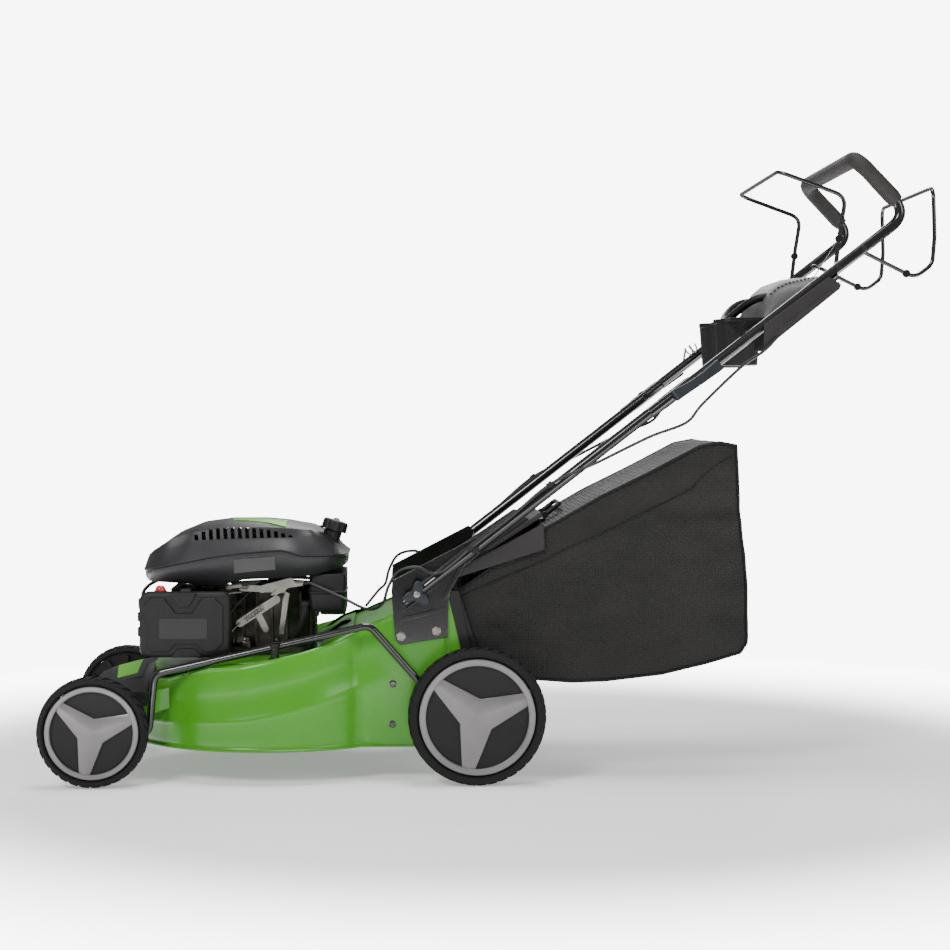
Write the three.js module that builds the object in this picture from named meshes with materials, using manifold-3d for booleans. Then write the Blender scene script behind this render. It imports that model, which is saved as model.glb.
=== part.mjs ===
// Walk-behind petrol lawn mower with a rear grass bag.
// Millimetres. +X points to the rear (towards the operator), +Y to the mower's right, +Z up.
// The parts are laid out from the front axle's centre line on the ground, and the whole group
// is then moved so that the origin is the bottom centre of the mower's bounding box.
import * as THREE from 'three';
import { mergeVertices } from 'three/addons/utils/BufferGeometryUtils.js';
import Module from 'manifold-3d';

const wasm = await Module();
wasm.setup();

// ---------------------------------------------------------------- driving dimensions
const WHEELBASE = 700;
const FRONT_RADIUS = 101.6;
const REAR_RADIUS = 127;
const HALF_WIDTH = 290;            // ground to outer tyre faces
const WHEEL_WIDTH = 45;
const WHEEL_SEGMENTS = 24;
const SHEET = 3;                   // pressed steel of the deck
const GAP = 0.4;                   // clearance between touching pieces

const BLADE_X = 315;               // crankshaft and blade axis
const CHAMBER_RADIUS = 265;
const SKIRT_BOTTOM = 62;
const REAR_HALF = 205;             // half width of the deck between the rear wheels

const CRANK_ARM = 45;              // height adjuster: wheel spindle to pivot bar
const CRANK_ANGLE = 30 * Math.PI / 180;   // slope of both cranks at rest
const ARM_Y = 218;
const LINK_PIN_ARM = 40;
const AXLE_RADIUS = 7;

const TUBE_RADIUS = 10;            // handle tubes
const HANDLE_ANGLE = Math.atan(0.774);
const LOWER_TUBE_Y = 224;
const UPPER_TUBE_Y = 246;
const TUBE_POINT = [723, 451];      // a point on the handle tubes' centre line, in X and Z
const FOLD_X = 697;                // lower handle pivot
const CAM_X = 1065;                // quick release pivot between the handle halves
const BAIL_RADIUS = 4;
const GRIP_RADIUS = 15.5;

const BAG_HALF = 200;
const REAR_END = 1571.6;           // rearmost point, the drive bail's cross bar

const COLOURS = {
  green: 0x4f9a2f, black: 0x1c1b19, plastic: 0x353336, slate: 0x3a4249, tyre: 0x1f1d1e,
  silver: 0x9a9697, steel: 0xa8a8a6, fabric: 0x32302e, foam: 0x55504f, red: 0xc8414b,
  alloy: 0x77746c, console: 0x8a8889,
};

// ---------------------------------------------------------------- geometry helpers
function solidOf(geometry) {
  const plain = geometry.clone();
  plain.deleteAttribute('normal');
  plain.deleteAttribute('uv');
  const merged = mergeVertices(plain, 1e-3);
  return new wasm.Manifold(new wasm.Mesh({
    numProp: 3,
    vertProperties: new Float32Array(merged.attributes.position.array),
    triVerts: new Uint32Array(merged.index.array),
  }));
}

function geometryOf(solid) {
  const mesh = solid.getMesh();
  const geometry = new THREE.BufferGeometry();
  geometry.setAttribute('position', new THREE.BufferAttribute(new Float32Array(mesh.vertProperties), 3));
  geometry.setIndex(new THREE.BufferAttribute(new Uint32Array(mesh.triVerts), 1));
  return geometry;
}

function join(...pieces) {
  return geometryOf(pieces.map(solidOf).reduce((whole, piece) => whole.add(piece)));
}

function cut(piece, ...tools) {
  return geometryOf(tools.map(solidOf).reduce((whole, tool) => whole.subtract(tool), solidOf(piece)));
}

function common(...pieces) {
  return geometryOf(pieces.map(solidOf).reduce((whole, piece) => whole.intersect(piece)));
}

function box(x0, x1, y0, y1, z0, z1) {
  const geometry = new THREE.BoxGeometry(x1 - x0, y1 - y0, z1 - z0);
  return geometry.translate((x0 + x1) / 2, (y0 + y1) / 2, (z0 + z1) / 2);
}

// Round bar between two points.
function bar(from, to, radius, sides = 12) {
  const a = new THREE.Vector3(...from);
  const b = new THREE.Vector3(...to);
  const geometry = new THREE.CylinderGeometry(radius, radius, a.distanceTo(b), sides);
  const turn = new THREE.Quaternion().setFromUnitVectors(
    new THREE.Vector3(0, 1, 0), b.clone().sub(a).normalize());
  geometry.applyQuaternion(turn);
  return geometry.translate((a.x + b.x) / 2, (a.y + b.y) / 2, (a.z + b.z) / 2);
}

// Outline in X and Z, made solid from y0 to y1.
function sidePlate(shape, y0, y1) {
  const geometry = new THREE.ExtrudeGeometry(shape, { depth: y1 - y0, bevelEnabled: false, curveSegments: 3 });
  return geometry.rotateX(Math.PI / 2).translate(0, y1, 0);
}

// Outline in X and Y, made solid from z0 to z1.
function planPlate(shape, z0, z1, curveSegments = 10) {
  const geometry = new THREE.ExtrudeGeometry(shape, { depth: z1 - z0, bevelEnabled: false, curveSegments });
  return geometry.translate(0, 0, z0);
}

function outline(points) {
  return new THREE.Shape(points.map(([x, y]) => new THREE.Vector2(x, y)));
}

// Moves every edge of a counter-clockwise outline inwards by a distance.
function inset(points, distance) {
  const count = points.length;
  return points.map((point, i) => {
    const before = points[(i + count - 1) % count];
    const after = points[(i + 1) % count];
    const d0 = new THREE.Vector2(point[0] - before[0], point[1] - before[1]).normalize();
    const d1 = new THREE.Vector2(after[0] - point[0], after[1] - point[1]).normalize();
    const n0 = new THREE.Vector2(-d0.y, d0.x);
    const n1 = new THREE.Vector2(-d1.y, d1.x);
    const mitre = n0.clone().add(n1).normalize();
    const reach = distance / mitre.dot(n0);
    return [point[0] + mitre.x * reach, point[1] + mitre.y * reach];
  });
}

function roundedRectangle(x0, x1, y0, y1, radius) {
  const shape = new THREE.Shape();
  shape.moveTo(x0 + radius, y0);
  shape.lineTo(x1 - radius, y0);
  shape.absarc(x1 - radius, y0 + radius, radius, -Math.PI / 2, 0, false);
  shape.lineTo(x1, y1 - radius);
  shape.absarc(x1 - radius, y1 - radius, radius, 0, Math.PI / 2, false);
  shape.lineTo(x0 + radius, y1);
  shape.absarc(x0 + radius, y1 - radius, radius, Math.PI / 2, Math.PI, false);
  shape.lineTo(x0, y0 + radius);
  shape.absarc(x0 + radius, y0 + radius, radius, Math.PI, Math.PI * 1.5, false);
  return shape;
}

// A turned piece. The profile is [radius, height] pairs, counter-clockwise, about the Y axis.
function turned(profile, segments = 32) {
  const points = profile.map(([radius, height]) => new THREE.Vector2(radius, height));
  return new THREE.LatheGeometry(points, segments);
}

function turnedUpright(profile, segments = 32) {
  return turned(profile, segments).rotateX(Math.PI / 2);
}

// A path given by its knots, so that a swept piece has one ring of points at each knot.
class KnotPath extends THREE.Curve {
  constructor(knots) {
    super();
    this.knots = knots;
  }

  getPoint(t) {
    return this.knots[Math.round(t * (this.knots.length - 1))].clone();
  }

  getPointAt(u) {
    return this.getPoint(u);
  }

  getTangentAt(u) {
    const last = this.knots.length - 1;
    const i = Math.round(u * last);
    const back = this.knots[Math.max(i - 1, 0)];
    const here = this.knots[i];
    const ahead = this.knots[Math.min(i + 1, last)];
    const arriving = here.clone().sub(back).normalize();
    const leaving = ahead.clone().sub(here).normalize();
    return arriving.add(leaving).normalize();
  }
}

// Knots of a polyline whose corners are bent to a radius.
function bent(points, radius, arcSteps = 5) {
  const corners = points.map((point) => new THREE.Vector3(...point));
  const knots = [corners[0]];
  for (let i = 1; i < corners.length - 1; i += 1) {
    const corner = corners[i];
    const back = corners[i - 1].clone().sub(corner).normalize();
    const ahead = corners[i + 1].clone().sub(corner).normalize();
    const half = back.angleTo(ahead) / 2;
    const inward = back.clone().add(ahead).normalize();
    const centre = corner.clone().addScaledVector(inward, radius / Math.sin(half));
    const start = corner.clone().addScaledVector(back, radius / Math.tan(half)).sub(centre);
    const end = corner.clone().addScaledVector(ahead, radius / Math.tan(half)).sub(centre);
    const sweep = start.angleTo(end);
    for (let k = 0; k <= arcSteps; k += 1) {
      const f = k / arcSteps;
      const a = Math.sin((1 - f) * sweep) / Math.sin(sweep);
      const b = Math.sin(f * sweep) / Math.sin(sweep);
      knots.push(centre.clone().addScaledVector(start, a).addScaledVector(end, b));
    }
  }
  knots.push(corners[corners.length - 1]);
  return knots;
}

function swept(knots, radius, sides = 12) {
  const section = new THREE.Shape();
  for (let i = 0; i < sides; i += 1) {
    const angle = i / sides * 2 * Math.PI;
    const x = radius * Math.cos(angle);
    const y = radius * Math.sin(angle);
    if (i === 0) section.moveTo(x, y);
    else section.lineTo(x, y);
  }
  section.closePath();
  return new THREE.ExtrudeGeometry(section, { steps: knots.length - 1, extrudePath: new KnotPath(knots) });
}

function smoothKnots(points, steps) {
  return new THREE.CatmullRomCurve3(points.map((point) => new THREE.Vector3(...point))).getSpacedPoints(steps);
}

// A point on the handle tubes' centre line at a given X, and one lifted off it along its normal.
function handleZ(x) {
  return TUBE_POINT[1] + (x - TUBE_POINT[0]) * Math.tan(HANDLE_ANGLE);
}

function alongHandle(x, lift) {
  return [x - lift * Math.sin(HANDLE_ANGLE), handleZ(x) + lift * Math.cos(HANDLE_ANGLE)];
}

// ---------------------------------------------------------------- assembly
const mower = new THREE.Group();

function add(name, geometry, colour, roughness = 0.5, metalness = 0) {
  const material = new THREE.MeshStandardMaterial({ color: COLOURS[colour], roughness, metalness });
  const mesh = new THREE.Mesh(geometry, material);
  mesh.name = name;
  mower.add(mesh);
  return mesh;
}

// ---------------------------------------------------------------- deck and chassis
const DECK_SIDE = [
  [40, SKIRT_BOTTOM], [585, SKIRT_BOTTOM], [645, 175], [690, 200], [650, 355], [560, 312], [445, 262],
  [402, 225], [210, 214], [119, 184], [60, 172], [40, 140],
];

function deckPlan(offset) {
  const radius = CHAMBER_RADIUS - offset;
  const half = REAR_HALF - offset;
  const joinAngle = Math.asin(half / radius);
  const shape = new THREE.Shape();
  shape.moveTo(760, -half);
  shape.lineTo(760, half);
  shape.lineTo(BLADE_X + radius * Math.cos(joinAngle), half);
  shape.absarc(BLADE_X, 0, radius, joinAngle, 2 * Math.PI - joinAngle, false);
  shape.closePath();
  return shape;
}

// Lugs that carry the pivots of both crank axles, one pair in front and one behind.
const LUG_Y = 186;
const LUG_THICKNESS = 6;
const FRONT_LUG = [[26, 112], [54, 110], [150, 140], [150, 176], [60, 158], [28, 138]];
const REAR_LUG = [[646, 134], [676, 134], [682, 150], [686, 199], [650, 190], [643, 172]];

function crankPivot(x, z, toPivot) {
  return [x + toPivot * CRANK_ARM * Math.cos(CRANK_ANGLE), z + CRANK_ARM * Math.sin(CRANK_ANGLE)];
}

const FRONT_PIVOT = crankPivot(0, FRONT_RADIUS, 1);
const REAR_PIVOT = crankPivot(WHEELBASE, REAR_RADIUS, -1);
const PIVOT_RADIUS = 8;

function deckShell() {
  const outer = common(
    planPlate(deckPlan(0), 0, 400, 20),
    sidePlate(outline(DECK_SIDE), -300, 300));
  const lip = planPlate(deckPlan(-5), SKIRT_BOTTOM, SKIRT_BOTTOM + SHEET, 20);
  const lipEnd = box(0, 600, -300, 300, 0, 100);
  const innerSide = inset(DECK_SIDE, SHEET);
  const [frontBottom, rearBottom, floorBend, floorEnd, mouthTop] = innerSide;
  const cavitySide = [
    [frontBottom[0], 0], [rearBottom[0] - SHEET, 0], rearBottom, floorBend,
    [floorEnd[0] + 45, floorEnd[1] + 25], [mouthTop[0] + 60, mouthTop[1] + 26], ...innerSide.slice(4),
  ];
  const cavity = common(
    planPlate(deckPlan(SHEET), 0, 400, 20),
    sidePlate(outline(cavitySide), -300, 300));
  const crankHole = bar([BLADE_X, 0, 200], [BLADE_X, 0, 260], 30, 24);
  const portHole = bar([330, -248, 185], [330, -240, 250], 7, 12);
  const beltSlot = box(560, 662, -50, 50, BELT_Z - 4, 177);
  const lugs = [FRONT_LUG, REAR_LUG].flatMap((shape) => [
    sidePlate(outline(shape), LUG_Y, LUG_Y + LUG_THICKNESS),
    sidePlate(outline(shape), -LUG_Y - LUG_THICKNESS, -LUG_Y),
  ]);
  const pivotHoles = [FRONT_PIVOT, REAR_PIVOT].map(
    ([x, z]) => bar([x, -LUG_Y - 10, z], [x, LUG_Y + 10, z], PIVOT_RADIUS + 1, 16));
  return cut(
    join(outer, common(lip, lipEnd), ...lugs),
    cavity, crankHole, portHole, beltSlot, ...pivotHoles);
}

function frontTrim() {
  const side = [[-18, 150], [98, 192], [96, 214], [60, 226], [10, 236], [-20, 222], [-28, 190]];
  const shell = sidePlate(outline(side), -212, 212);
  const hollow = inset(side, 4);
  hollow[0] = [hollow[0][0], 100];
  hollow[1] = [hollow[1][0], 130];
  return cut(shell, sidePlate(outline(hollow), -208, 208));
}

const BELT_Z = 122;

const BRACKET_Y = REAR_HALF + GAP;
const BRACKET_BOLTS = [[561, 268], [627, 278]];
const KNOB_X = 590;                // star knobs, which lock the lower handle to the brackets

function handleBracket(side) {
  const shape = outline([
    [558, 252], [648, 266], [650, 352], [664, 384], [704, 418], [712, 440], [700, 452],
    [545, 372], [543, 352], [550, 262],
  ]);
  const plate = side < 0
    ? sidePlate(shape, -BRACKET_Y - 4, -BRACKET_Y)
    : sidePlate(shape, BRACKET_Y, BRACKET_Y + 4);
  const reach = side * (BRACKET_Y + 2);
  const holes = [...BRACKET_BOLTS, [KNOB_X, handleZ(KNOB_X)]].map(
    ([x, z]) => bar([x, reach - 9, z], [x, reach + 9, z], 5, 12));
  const pin = bar([FOLD_X, reach, handleZ(FOLD_X)], [FOLD_X, side * 232, handleZ(FOLD_X)], 4, 8);
  return join(cut(plate, ...holes), pin);
}

// Two set bolts welded to a backing strip inside the deck's side.
function bracketBolts(side) {
  const inner = side * (BRACKET_Y + 4 + GAP);
  const heads = BRACKET_BOLTS.map(
    ([x, z]) => bar([x, inner, z], [x, inner + side * 3.9, z], 8, 6));
  const washer = sidePlate(
    outline([[551, 259], [630, 270], [637, 278], [630, 286], [558, 276]]),
    Math.min(inner, inner + side * 1.5), Math.max(inner, inner + side * 1.5));
  return join(washer, ...heads);
}

function rearFlap() {
  const shape = outline([[662, 381], [826, 489], [822, 497], [800, 490], [656, 391]]);
  const panel = sidePlate(shape, -185, 185);
  const ribs = [-150, -90, -30, 30, 90, 150].map(
    (y) => sidePlate(outline([[668, 394], [800, 485], [797, 492], [664, 402]]), y - 5, y + 5));
  const bore = bar([656, -190, 378], [656, 190, 378], 5, 12);
  const barrel = bar([656, -185, 378], [656, 185, 378], 9, 16);
  return cut(join(panel, barrel, ...ribs), bore);
}

// Flat bar with round ends between two points in the XZ plane, from y0 to y1.
function strap(from, to, width, y0, y1) {
  const angle = Math.atan2(to[1] - from[1], to[0] - from[0]);
  const length = Math.hypot(to[0] - from[0], to[1] - from[1]);
  const shape = roundedRectangle(-width / 2, length + width / 2, -width / 2, width / 2, width * 0.49);
  return sidePlate(shape, y0, y1).rotateY(-angle).translate(from[0], 0, from[1]);
}

// An axle on two crank arms. A cross bar joins the arms, and toPivot is +1 when the pivots lie
// behind the axle, -1 in front. The pivots are stubs where the cross bar runs elsewhere.
function crankAxle(x, z, toPivot, crossBar) {
  const pivot = crankPivot(x, z, toPivot);
  const pinAngle = -toPivot * Math.PI / 3;
  const pin = [pivot[0] + LINK_PIN_ARM * Math.cos(pinAngle), pivot[1] + LINK_PIN_ARM * Math.sin(pinAngle)];
  const ends = [-1, 1].flatMap((s) => [
    bar([x, s * ARM_Y, z], [x, s * (HALF_WIDTH - 12), z], AXLE_RADIUS, 12),
    bar([pivot[0], s * (LUG_Y - 4), pivot[1]], [pivot[0], s * ARM_Y, pivot[1]], PIVOT_RADIUS, 12),
    strap([x, z], pivot, 22, s * ARM_Y - 5, s * ARM_Y + 5),
    strap([x, z], crossBar, 20, s * ARM_Y - 5, s * ARM_Y + 5),
  ]);
  const cross = bar([crossBar[0], -ARM_Y, crossBar[1]], [crossBar[0], ARM_Y, crossBar[1]], PIVOT_RADIUS, 12);
  const linkLug = strap(pivot, pin, 20, -ARM_Y - 5, -ARM_Y + 5);
  return { geometry: join(cross, linkLug, ...ends), pin };
}

add('deck_shell', deckShell(), 'green', 0.25, 0.1);
add('front_trim', frontTrim(), 'plastic', 0.5);
for (const [word, side] of [['left', -1], ['right', 1]]) {
  add(`handle_bracket_${word}`, handleBracket(side), 'black', 0.35, 0.4);
  add(`bracket_bolts_${word}`, bracketBolts(side), 'steel', 0.3, 0.9);
}
add('rear_flap', rearFlap(), 'console', 0.6);
add('flap_hinge_rod', bar([656, -198, 378], [656, 198, 378], 4.5, 12), 'steel', 0.3, 0.9);

// Height adjuster: both axles hang on cranks that a link tube and one lever turn together.
const frontCrank = crankAxle(0, FRONT_RADIUS, 1, FRONT_PIVOT);
const rearCrank = crankAxle(WHEELBASE, REAR_RADIUS, -1, [WHEELBASE - 19, REAR_RADIUS - 33]);
const leverTop = [REAR_PIVOT[0] + 24, REAR_PIVOT[1] + 92];
add('front_axle', frontCrank.geometry, 'steel', 0.35, 0.9);
add('rear_axle', join(
  rearCrank.geometry,
  bar([REAR_PIVOT[0], ARM_Y, REAR_PIVOT[1]], [REAR_PIVOT[0], 227, REAR_PIVOT[1]], 9, 12),
  strap(REAR_PIVOT, leverTop, 18, 222, 227),
  bar([leverTop[0], 227, leverTop[1]], [leverTop[0], 240, leverTop[1]], 12, 12),
), 'steel', 0.35, 0.9);

const LINK_Y = -236;
const linkKnots = bent([
  [frontCrank.pin[0], LINK_Y, frontCrank.pin[1]], [98, LINK_Y, frontCrank.pin[1]], [108, LINK_Y, 206],
  [330, LINK_Y, 252], [503, LINK_Y, 293], [598, LINK_Y, rearCrank.pin[1]],
  [rearCrank.pin[0], LINK_Y, rearCrank.pin[1]],
], 16, 3);
const linkPins = [frontCrank.pin, rearCrank.pin].map(
  ([x, z]) => bar([x, LINK_Y, z], [x, -ARM_Y - 5 - GAP, z], 8, 12));
add('height_link', join(swept(linkKnots, 7, 8), ...linkPins), 'black', 0.3, 0.4);

// Gearbox on the rear drive shaft, driven by a belt from the crankshaft.
const GEAR_PULLEY_X = 664;
add('gearbox', join(
  box(692, 716, -30, 30, 107, 147),
  box(652, 704, -20, 20, 106, 113),
  bar([WHEELBASE, -ARM_Y + 7, REAR_RADIUS], [WHEELBASE, ARM_Y - 7, REAR_RADIUS], AXLE_RADIUS, 12),
  bar([GEAR_PULLEY_X, 0, 112], [GEAR_PULLEY_X, 0, BELT_Z - 2], 27, 24),
  bar([GEAR_PULLEY_X, 0, 112], [GEAR_PULLEY_X, 0, BELT_Z + 9], 20, 24),
), 'alloy', 0.5, 0.6);

function beltLoop() {
  const stadium = (radius) => {
    const shape = new THREE.Shape();
    shape.absarc(BLADE_X, 0, radius, Math.PI / 2, Math.PI * 1.5, false);
    shape.absarc(GEAR_PULLEY_X, 0, radius, -Math.PI / 2, Math.PI / 2, false);
    shape.closePath();
    return shape;
  };
  const shape = stadium(27);
  shape.holes.push(stadium(20 + GAP));
  return planPlate(shape, BELT_Z, BELT_Z + 8, 10);
}

add('drive_belt', beltLoop(), 'black', 0.9);

// ---------------------------------------------------------------- wheels
function tyre(radius) {
  const rim = radius * 0.85;
  const half = WHEEL_WIDTH / 2;
  return turned([
    [rim, -half + 5], [radius - 6, -half], [radius, -half + 9], [radius, half - 9], [radius - 6, half],
    [rim, half - 5], [rim, -half + 5],
  ], WHEEL_SEGMENTS);
}

function wheelHub(radius) {
  const rim = radius * 0.85 - GAP;
  const half = WHEEL_WIDTH / 2;
  return turned([
    [AXLE_RADIUS + GAP, -half], [18, -half], [20, -half + 8], [rim, -half + 8],
    [rim, half - 6], [AXLE_RADIUS + GAP, half - 6], [AXLE_RADIUS + GAP, -half],
  ], WHEEL_SEGMENTS);
}

// Ring and three-armed star in one moulding; each gap between the arms is a curved triangle.
function wheelTrim(radius) {
  const outer = radius * 0.835;
  const inner = radius * 0.742;
  const shape = new THREE.Shape();
  for (let quarter = 0; quarter < 4; quarter += 1) {
    shape.absarc(0, 0, outer, quarter * Math.PI / 2, (quarter + 1) * Math.PI / 2, false);
  }
  for (let arm = 0; arm < 3; arm += 1) {
    const start = (80 + 120 * arm) * Math.PI / 180;
    const from = start + 0.21;
    const to = start + 2 * Math.PI / 3 - 0.21;
    const middle = (from + to) / 2;
    const hole = new THREE.Path();
    hole.moveTo(0.3 * radius * Math.cos(middle), 0.3 * radius * Math.sin(middle));
    hole.lineTo(inner * Math.cos(from), inner * Math.sin(from));
    hole.absarc(0, 0, inner, from, to, false);
    hole.closePath();
    shape.holes.push(hole);
  }
  return new THREE.ExtrudeGeometry(shape, { depth: 5, bevelEnabled: false, curveSegments: 6 });
}

for (const [end, x, radius] of [['front', 0, FRONT_RADIUS], ['rear', WHEELBASE, REAR_RADIUS]]) {
  for (const [word, side] of [['left', -1], ['right', 1]]) {
    const wheel = new THREE.Group();
    wheel.position.set(x, side * (HALF_WIDTH - WHEEL_WIDTH / 2), radius);
    if (side < 0) wheel.rotation.z = Math.PI;
    mower.add(wheel);
    const pieces = [
      ['tyre', tyre(radius), 'tyre', 0.85, 0],
      ['hub', wheelHub(radius), 'plastic', 0.6, 0],
      ['trim', wheelTrim(radius).rotateX(-Math.PI / 2).translate(0, WHEEL_WIDTH / 2 - 6 + GAP, 0), 'silver', 0.35, 0.6],
    ];
    for (const [piece, geometry, colour, roughness, metalness] of pieces) {
      wheel.add(add(`${end}_${word}_${piece}`, geometry, colour, roughness, metalness));
    }
  }
}

// ---------------------------------------------------------------- engine
const ENGINE_BASE = 226;
const COWL_HALF = 150;
const COWL_SIDE = [
  [86, 364], [228, 361], [246, 371], [372, 374], [402, 384], [460, 391], [463, 424], [448, 441],
  [402, 455], [394, 466], [372, 476], [307, 480], [228, 482], [168, 469], [112, 442], [78, 416],
  [70, 402], [72, 376],
];
const VENT_COUNT = 6;
const VENT_PITCH = 28;

add('engine_block', cut(join(
  planPlate(roundedRectangle(222, 384, -95, 95, 20), ENGINE_BASE, ENGINE_BASE + 10),
  bar([BLADE_X, 0, ENGINE_BASE], [BLADE_X, 0, 352], 84, 20),
  box(150, 300, -48, 48, 250, 345),
  ...[0, 1, 2].map((i) => box(132 + 30 * i, 140 + 30 * i, -62, 62, 240, 355)),
  box(120, 160, -48, 48, 250, 345),
), bar([BLADE_X, 0, 200], [BLADE_X, 0, 400], 15, 12)), 'alloy', 0.5, 0.7);

const shaftProfile = [
  [0, 112], [30, 112], [30, BELT_Z - 1], [20 - GAP, BELT_Z - 1], [20 - GAP, BELT_Z + 9], [30, BELT_Z + 9],
  [30, BELT_Z + 14], [12.6, BELT_Z + 14], [12.6, 372], [88, 380], [88, 392], [60, 396], [60, 420],
  [40, 424], [0, 424],
];
add('crankshaft', turnedUpright(shaftProfile.map(([r, z]) => [r, -z]).reverse(), 16)
  .rotateX(Math.PI).translate(BLADE_X, 0, 0), 'steel', 0.35, 0.9);

const BLADE_TOP = 112 - GAP;
const bladeHalf = CHAMBER_RADIUS - SHEET - 8;
add('blade', cut(join(
  box(BLADE_X - bladeHalf + 6, BLADE_X + bladeHalf - 6, -26, 26, BLADE_TOP - 4, BLADE_TOP),
  box(BLADE_X + bladeHalf - 70, BLADE_X + bladeHalf - 6, 20, 26, BLADE_TOP - 4, BLADE_TOP + 8),
  box(BLADE_X - bladeHalf + 6, BLADE_X - bladeHalf + 70, -26, -20, BLADE_TOP - 4, BLADE_TOP + 8),
), bar([BLADE_X, 0, 90], [BLADE_X, 0, 120], 5, 12)), 'steel', 0.4, 0.9);
add('blade_bolt', join(
  bar([BLADE_X, 0, 98], [BLADE_X, 0, BLADE_TOP - 4 - GAP], 15, 6),
  bar([BLADE_X, 0, 100], [BLADE_X, 0, BLADE_TOP - GAP], 4.5, 12),
), 'steel', 0.3, 0.9);

// A point on the filler neck's axis, which leans back square to the cowl's rear slope.
const NECK_LEAN = 17 * Math.PI / 180;

function neckPoint(distance) {
  return [430 + distance * Math.sin(NECK_LEAN), -60, 450 + distance * Math.cos(NECK_LEAN)];
}

function fanCowl() {
  const plan = (offset) => roundedRectangle(70 + offset, 463 - offset, offset - COWL_HALF, COWL_HALF - offset, 90);
  const front = (offset) => outline(inset([
    [-COWL_HALF, 340], [COWL_HALF, 340], [COWL_HALF, 428], [96, 482.5], [-96, 482.5], [-COWL_HALF, 428],
  ], offset));
  const across = (shape) => new THREE.ExtrudeGeometry(shape, { depth: 420, bevelEnabled: false })
    .rotateX(Math.PI / 2).rotateZ(Math.PI / 2).translate(60, 0, 0);
  const outer = common(planPlate(plan(0), 300, 500, 5), sidePlate(outline(COWL_SIDE), -160, 160), across(front(0)));
  const side = inset(COWL_SIDE, 3.5);
  const open = side.map(([x, z], i) => [x, i < 6 ? 330 : z]);
  const inner = common(planPlate(plan(3.5), 300, 500, 5), sidePlate(outline(open), -160, 160), across(front(3.5)));
  const vents = Array.from({ length: VENT_COUNT }, (_, i) => {
    const x = 190 + VENT_PITCH * i;
    const height = 26 - 0.0022 * (x - 265) ** 2;
    return box(x - 5.5, x + 5.5, -170, 170, 444, 444 + height);
  });
  const capHole = bar(neckPoint(-40), neckPoint(20), 20, 20);
  const ropeHole = bar([380, ROPE_Y, ROPE_Z], [410, ROPE_Y, ROPE_Z], 5, 12);
  return cut(outer, inner, ...vents, capHole, ropeHole);
}

const ROPE_Y = 62;
const ROPE_Z = 458;
add('fan_cowl', fanCowl(), 'plastic', 0.45);

add('fuel_tank', join(
  planPlate(roundedRectangle(408, 456, -118, 92, 16), 300, 377, 3),
  bar(neckPoint(-75), neckPoint(7), 17, 20),
), 'black', 0.4);
add('fuel_cap', bar(neckPoint(8), neckPoint(27), 25, 20), 'black', 0.6);

add('starter_grip', join(
  bar([433, ROPE_Y - 34, ROPE_Z + 8], [433, ROPE_Y + 34, ROPE_Z + 8], 8, 12),
  bar([412, ROPE_Y, ROPE_Z], [433, ROPE_Y, ROPE_Z + 8], 7, 12),
), 'black', 0.6);
add('starter_rope', bar([192, ROPE_Y, ROPE_Z], [409, ROPE_Y, ROPE_Z], 2.5, 8), 'fabric', 0.9);

// Air filter on the left of the engine, with a cover hinged along its front edge.
add('air_filter_box', cut(join(
  sidePlate(roundedRectangle(80, 240, 234, 345, 12), -172, -124),
  box(132, 172, -132, -100, 282, 322),
  bar([111, -150, 340], [111, -150, 348], 15, 16),
), bar([111, -150, 342], [111, -150, 350], 11.6, 16)), 'black', 0.5);
add('air_filter_cover', cut(
  sidePlate(roundedRectangle(77, 245, 229, 350, 16), -206, -172 - GAP),
  sidePlate(roundedRectangle(81, 241, 233, 346, 12), -202, -160),
), 'plastic', 0.45);
add('primer_bulb', turnedUpright([[0, 0], [11, 0], [11, 2], [9, 7], [5, 10], [0, 11]].map(([r, h]) => [r, -h]).reverse(), 12)
  .rotateX(Math.PI).translate(111, -150, 348 + GAP), 'red', 0.4);
add('carburettor', join(
  box(176, 226, -118, -70, 292, 338),
  bar([226, -94, 315], [233, -94, 315], 15, 16),
), 'alloy', 0.45, 0.7);
add('muffler', cut(
  planPlate(roundedRectangle(110, 230, 84, 140, 18), 262, 340, 3),
  planPlate(roundedRectangle(113, 227, 87, 137, 16), 265, 337, 3),
  bar([150, 130, 280], [150, 150, 280], 8, 12),
), 'steel', 0.6, 0.6);
add('spark_plug', join(
  bar([62, 0, 300], [118 - GAP, 0, 300], 7, 12),
  bar([62, 0, 300], [62, 0, 322], 9, 12),
  bar([92, 0, 300], [100, 0, 300], 11, 6),
), 'black', 0.5);
add('governor_lever', join(
  strap([262, 352], [338, 348], 12, -128, -125),
  strap([300, 350], [352, 364], 14, -134, -125),
  bar([352, -130, 364], [378, -130, 364], 3, 8),
  bar([BLADE_X + 12, -130, 350], [BLADE_X + 12, -86, 350], 4, 8),
), 'steel', 0.35, 0.9);
add('brake_lever', join(
  strap([258, 286], [326, 330], 15, -130, -126),
  strap([290, 307], [306, 274], 12, -130, -126),
  bar([326, -126, 330], [326, -112, 330], 5, 12),
), 'steel', 0.35, 0.9);
add('wash_port', join(
  bar([330, -246, 222], [330, -246, 230], 12, 16),
  bar([330, -246, 224], [330, -252, 252], 8, 16),
), 'black', 0.6);

// ---------------------------------------------------------------- handle
const lowerEnd = 568;
const lowerTop = CAM_X + 32;
const upperEnd = 1020;
const bendX = 1495;
const loopTop = [1398, 1150];

function holeAcross(x, z, radius = 4.6) {
  return bar([x, -300, z], [x, 300, z], radius, 8);
}

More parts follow.
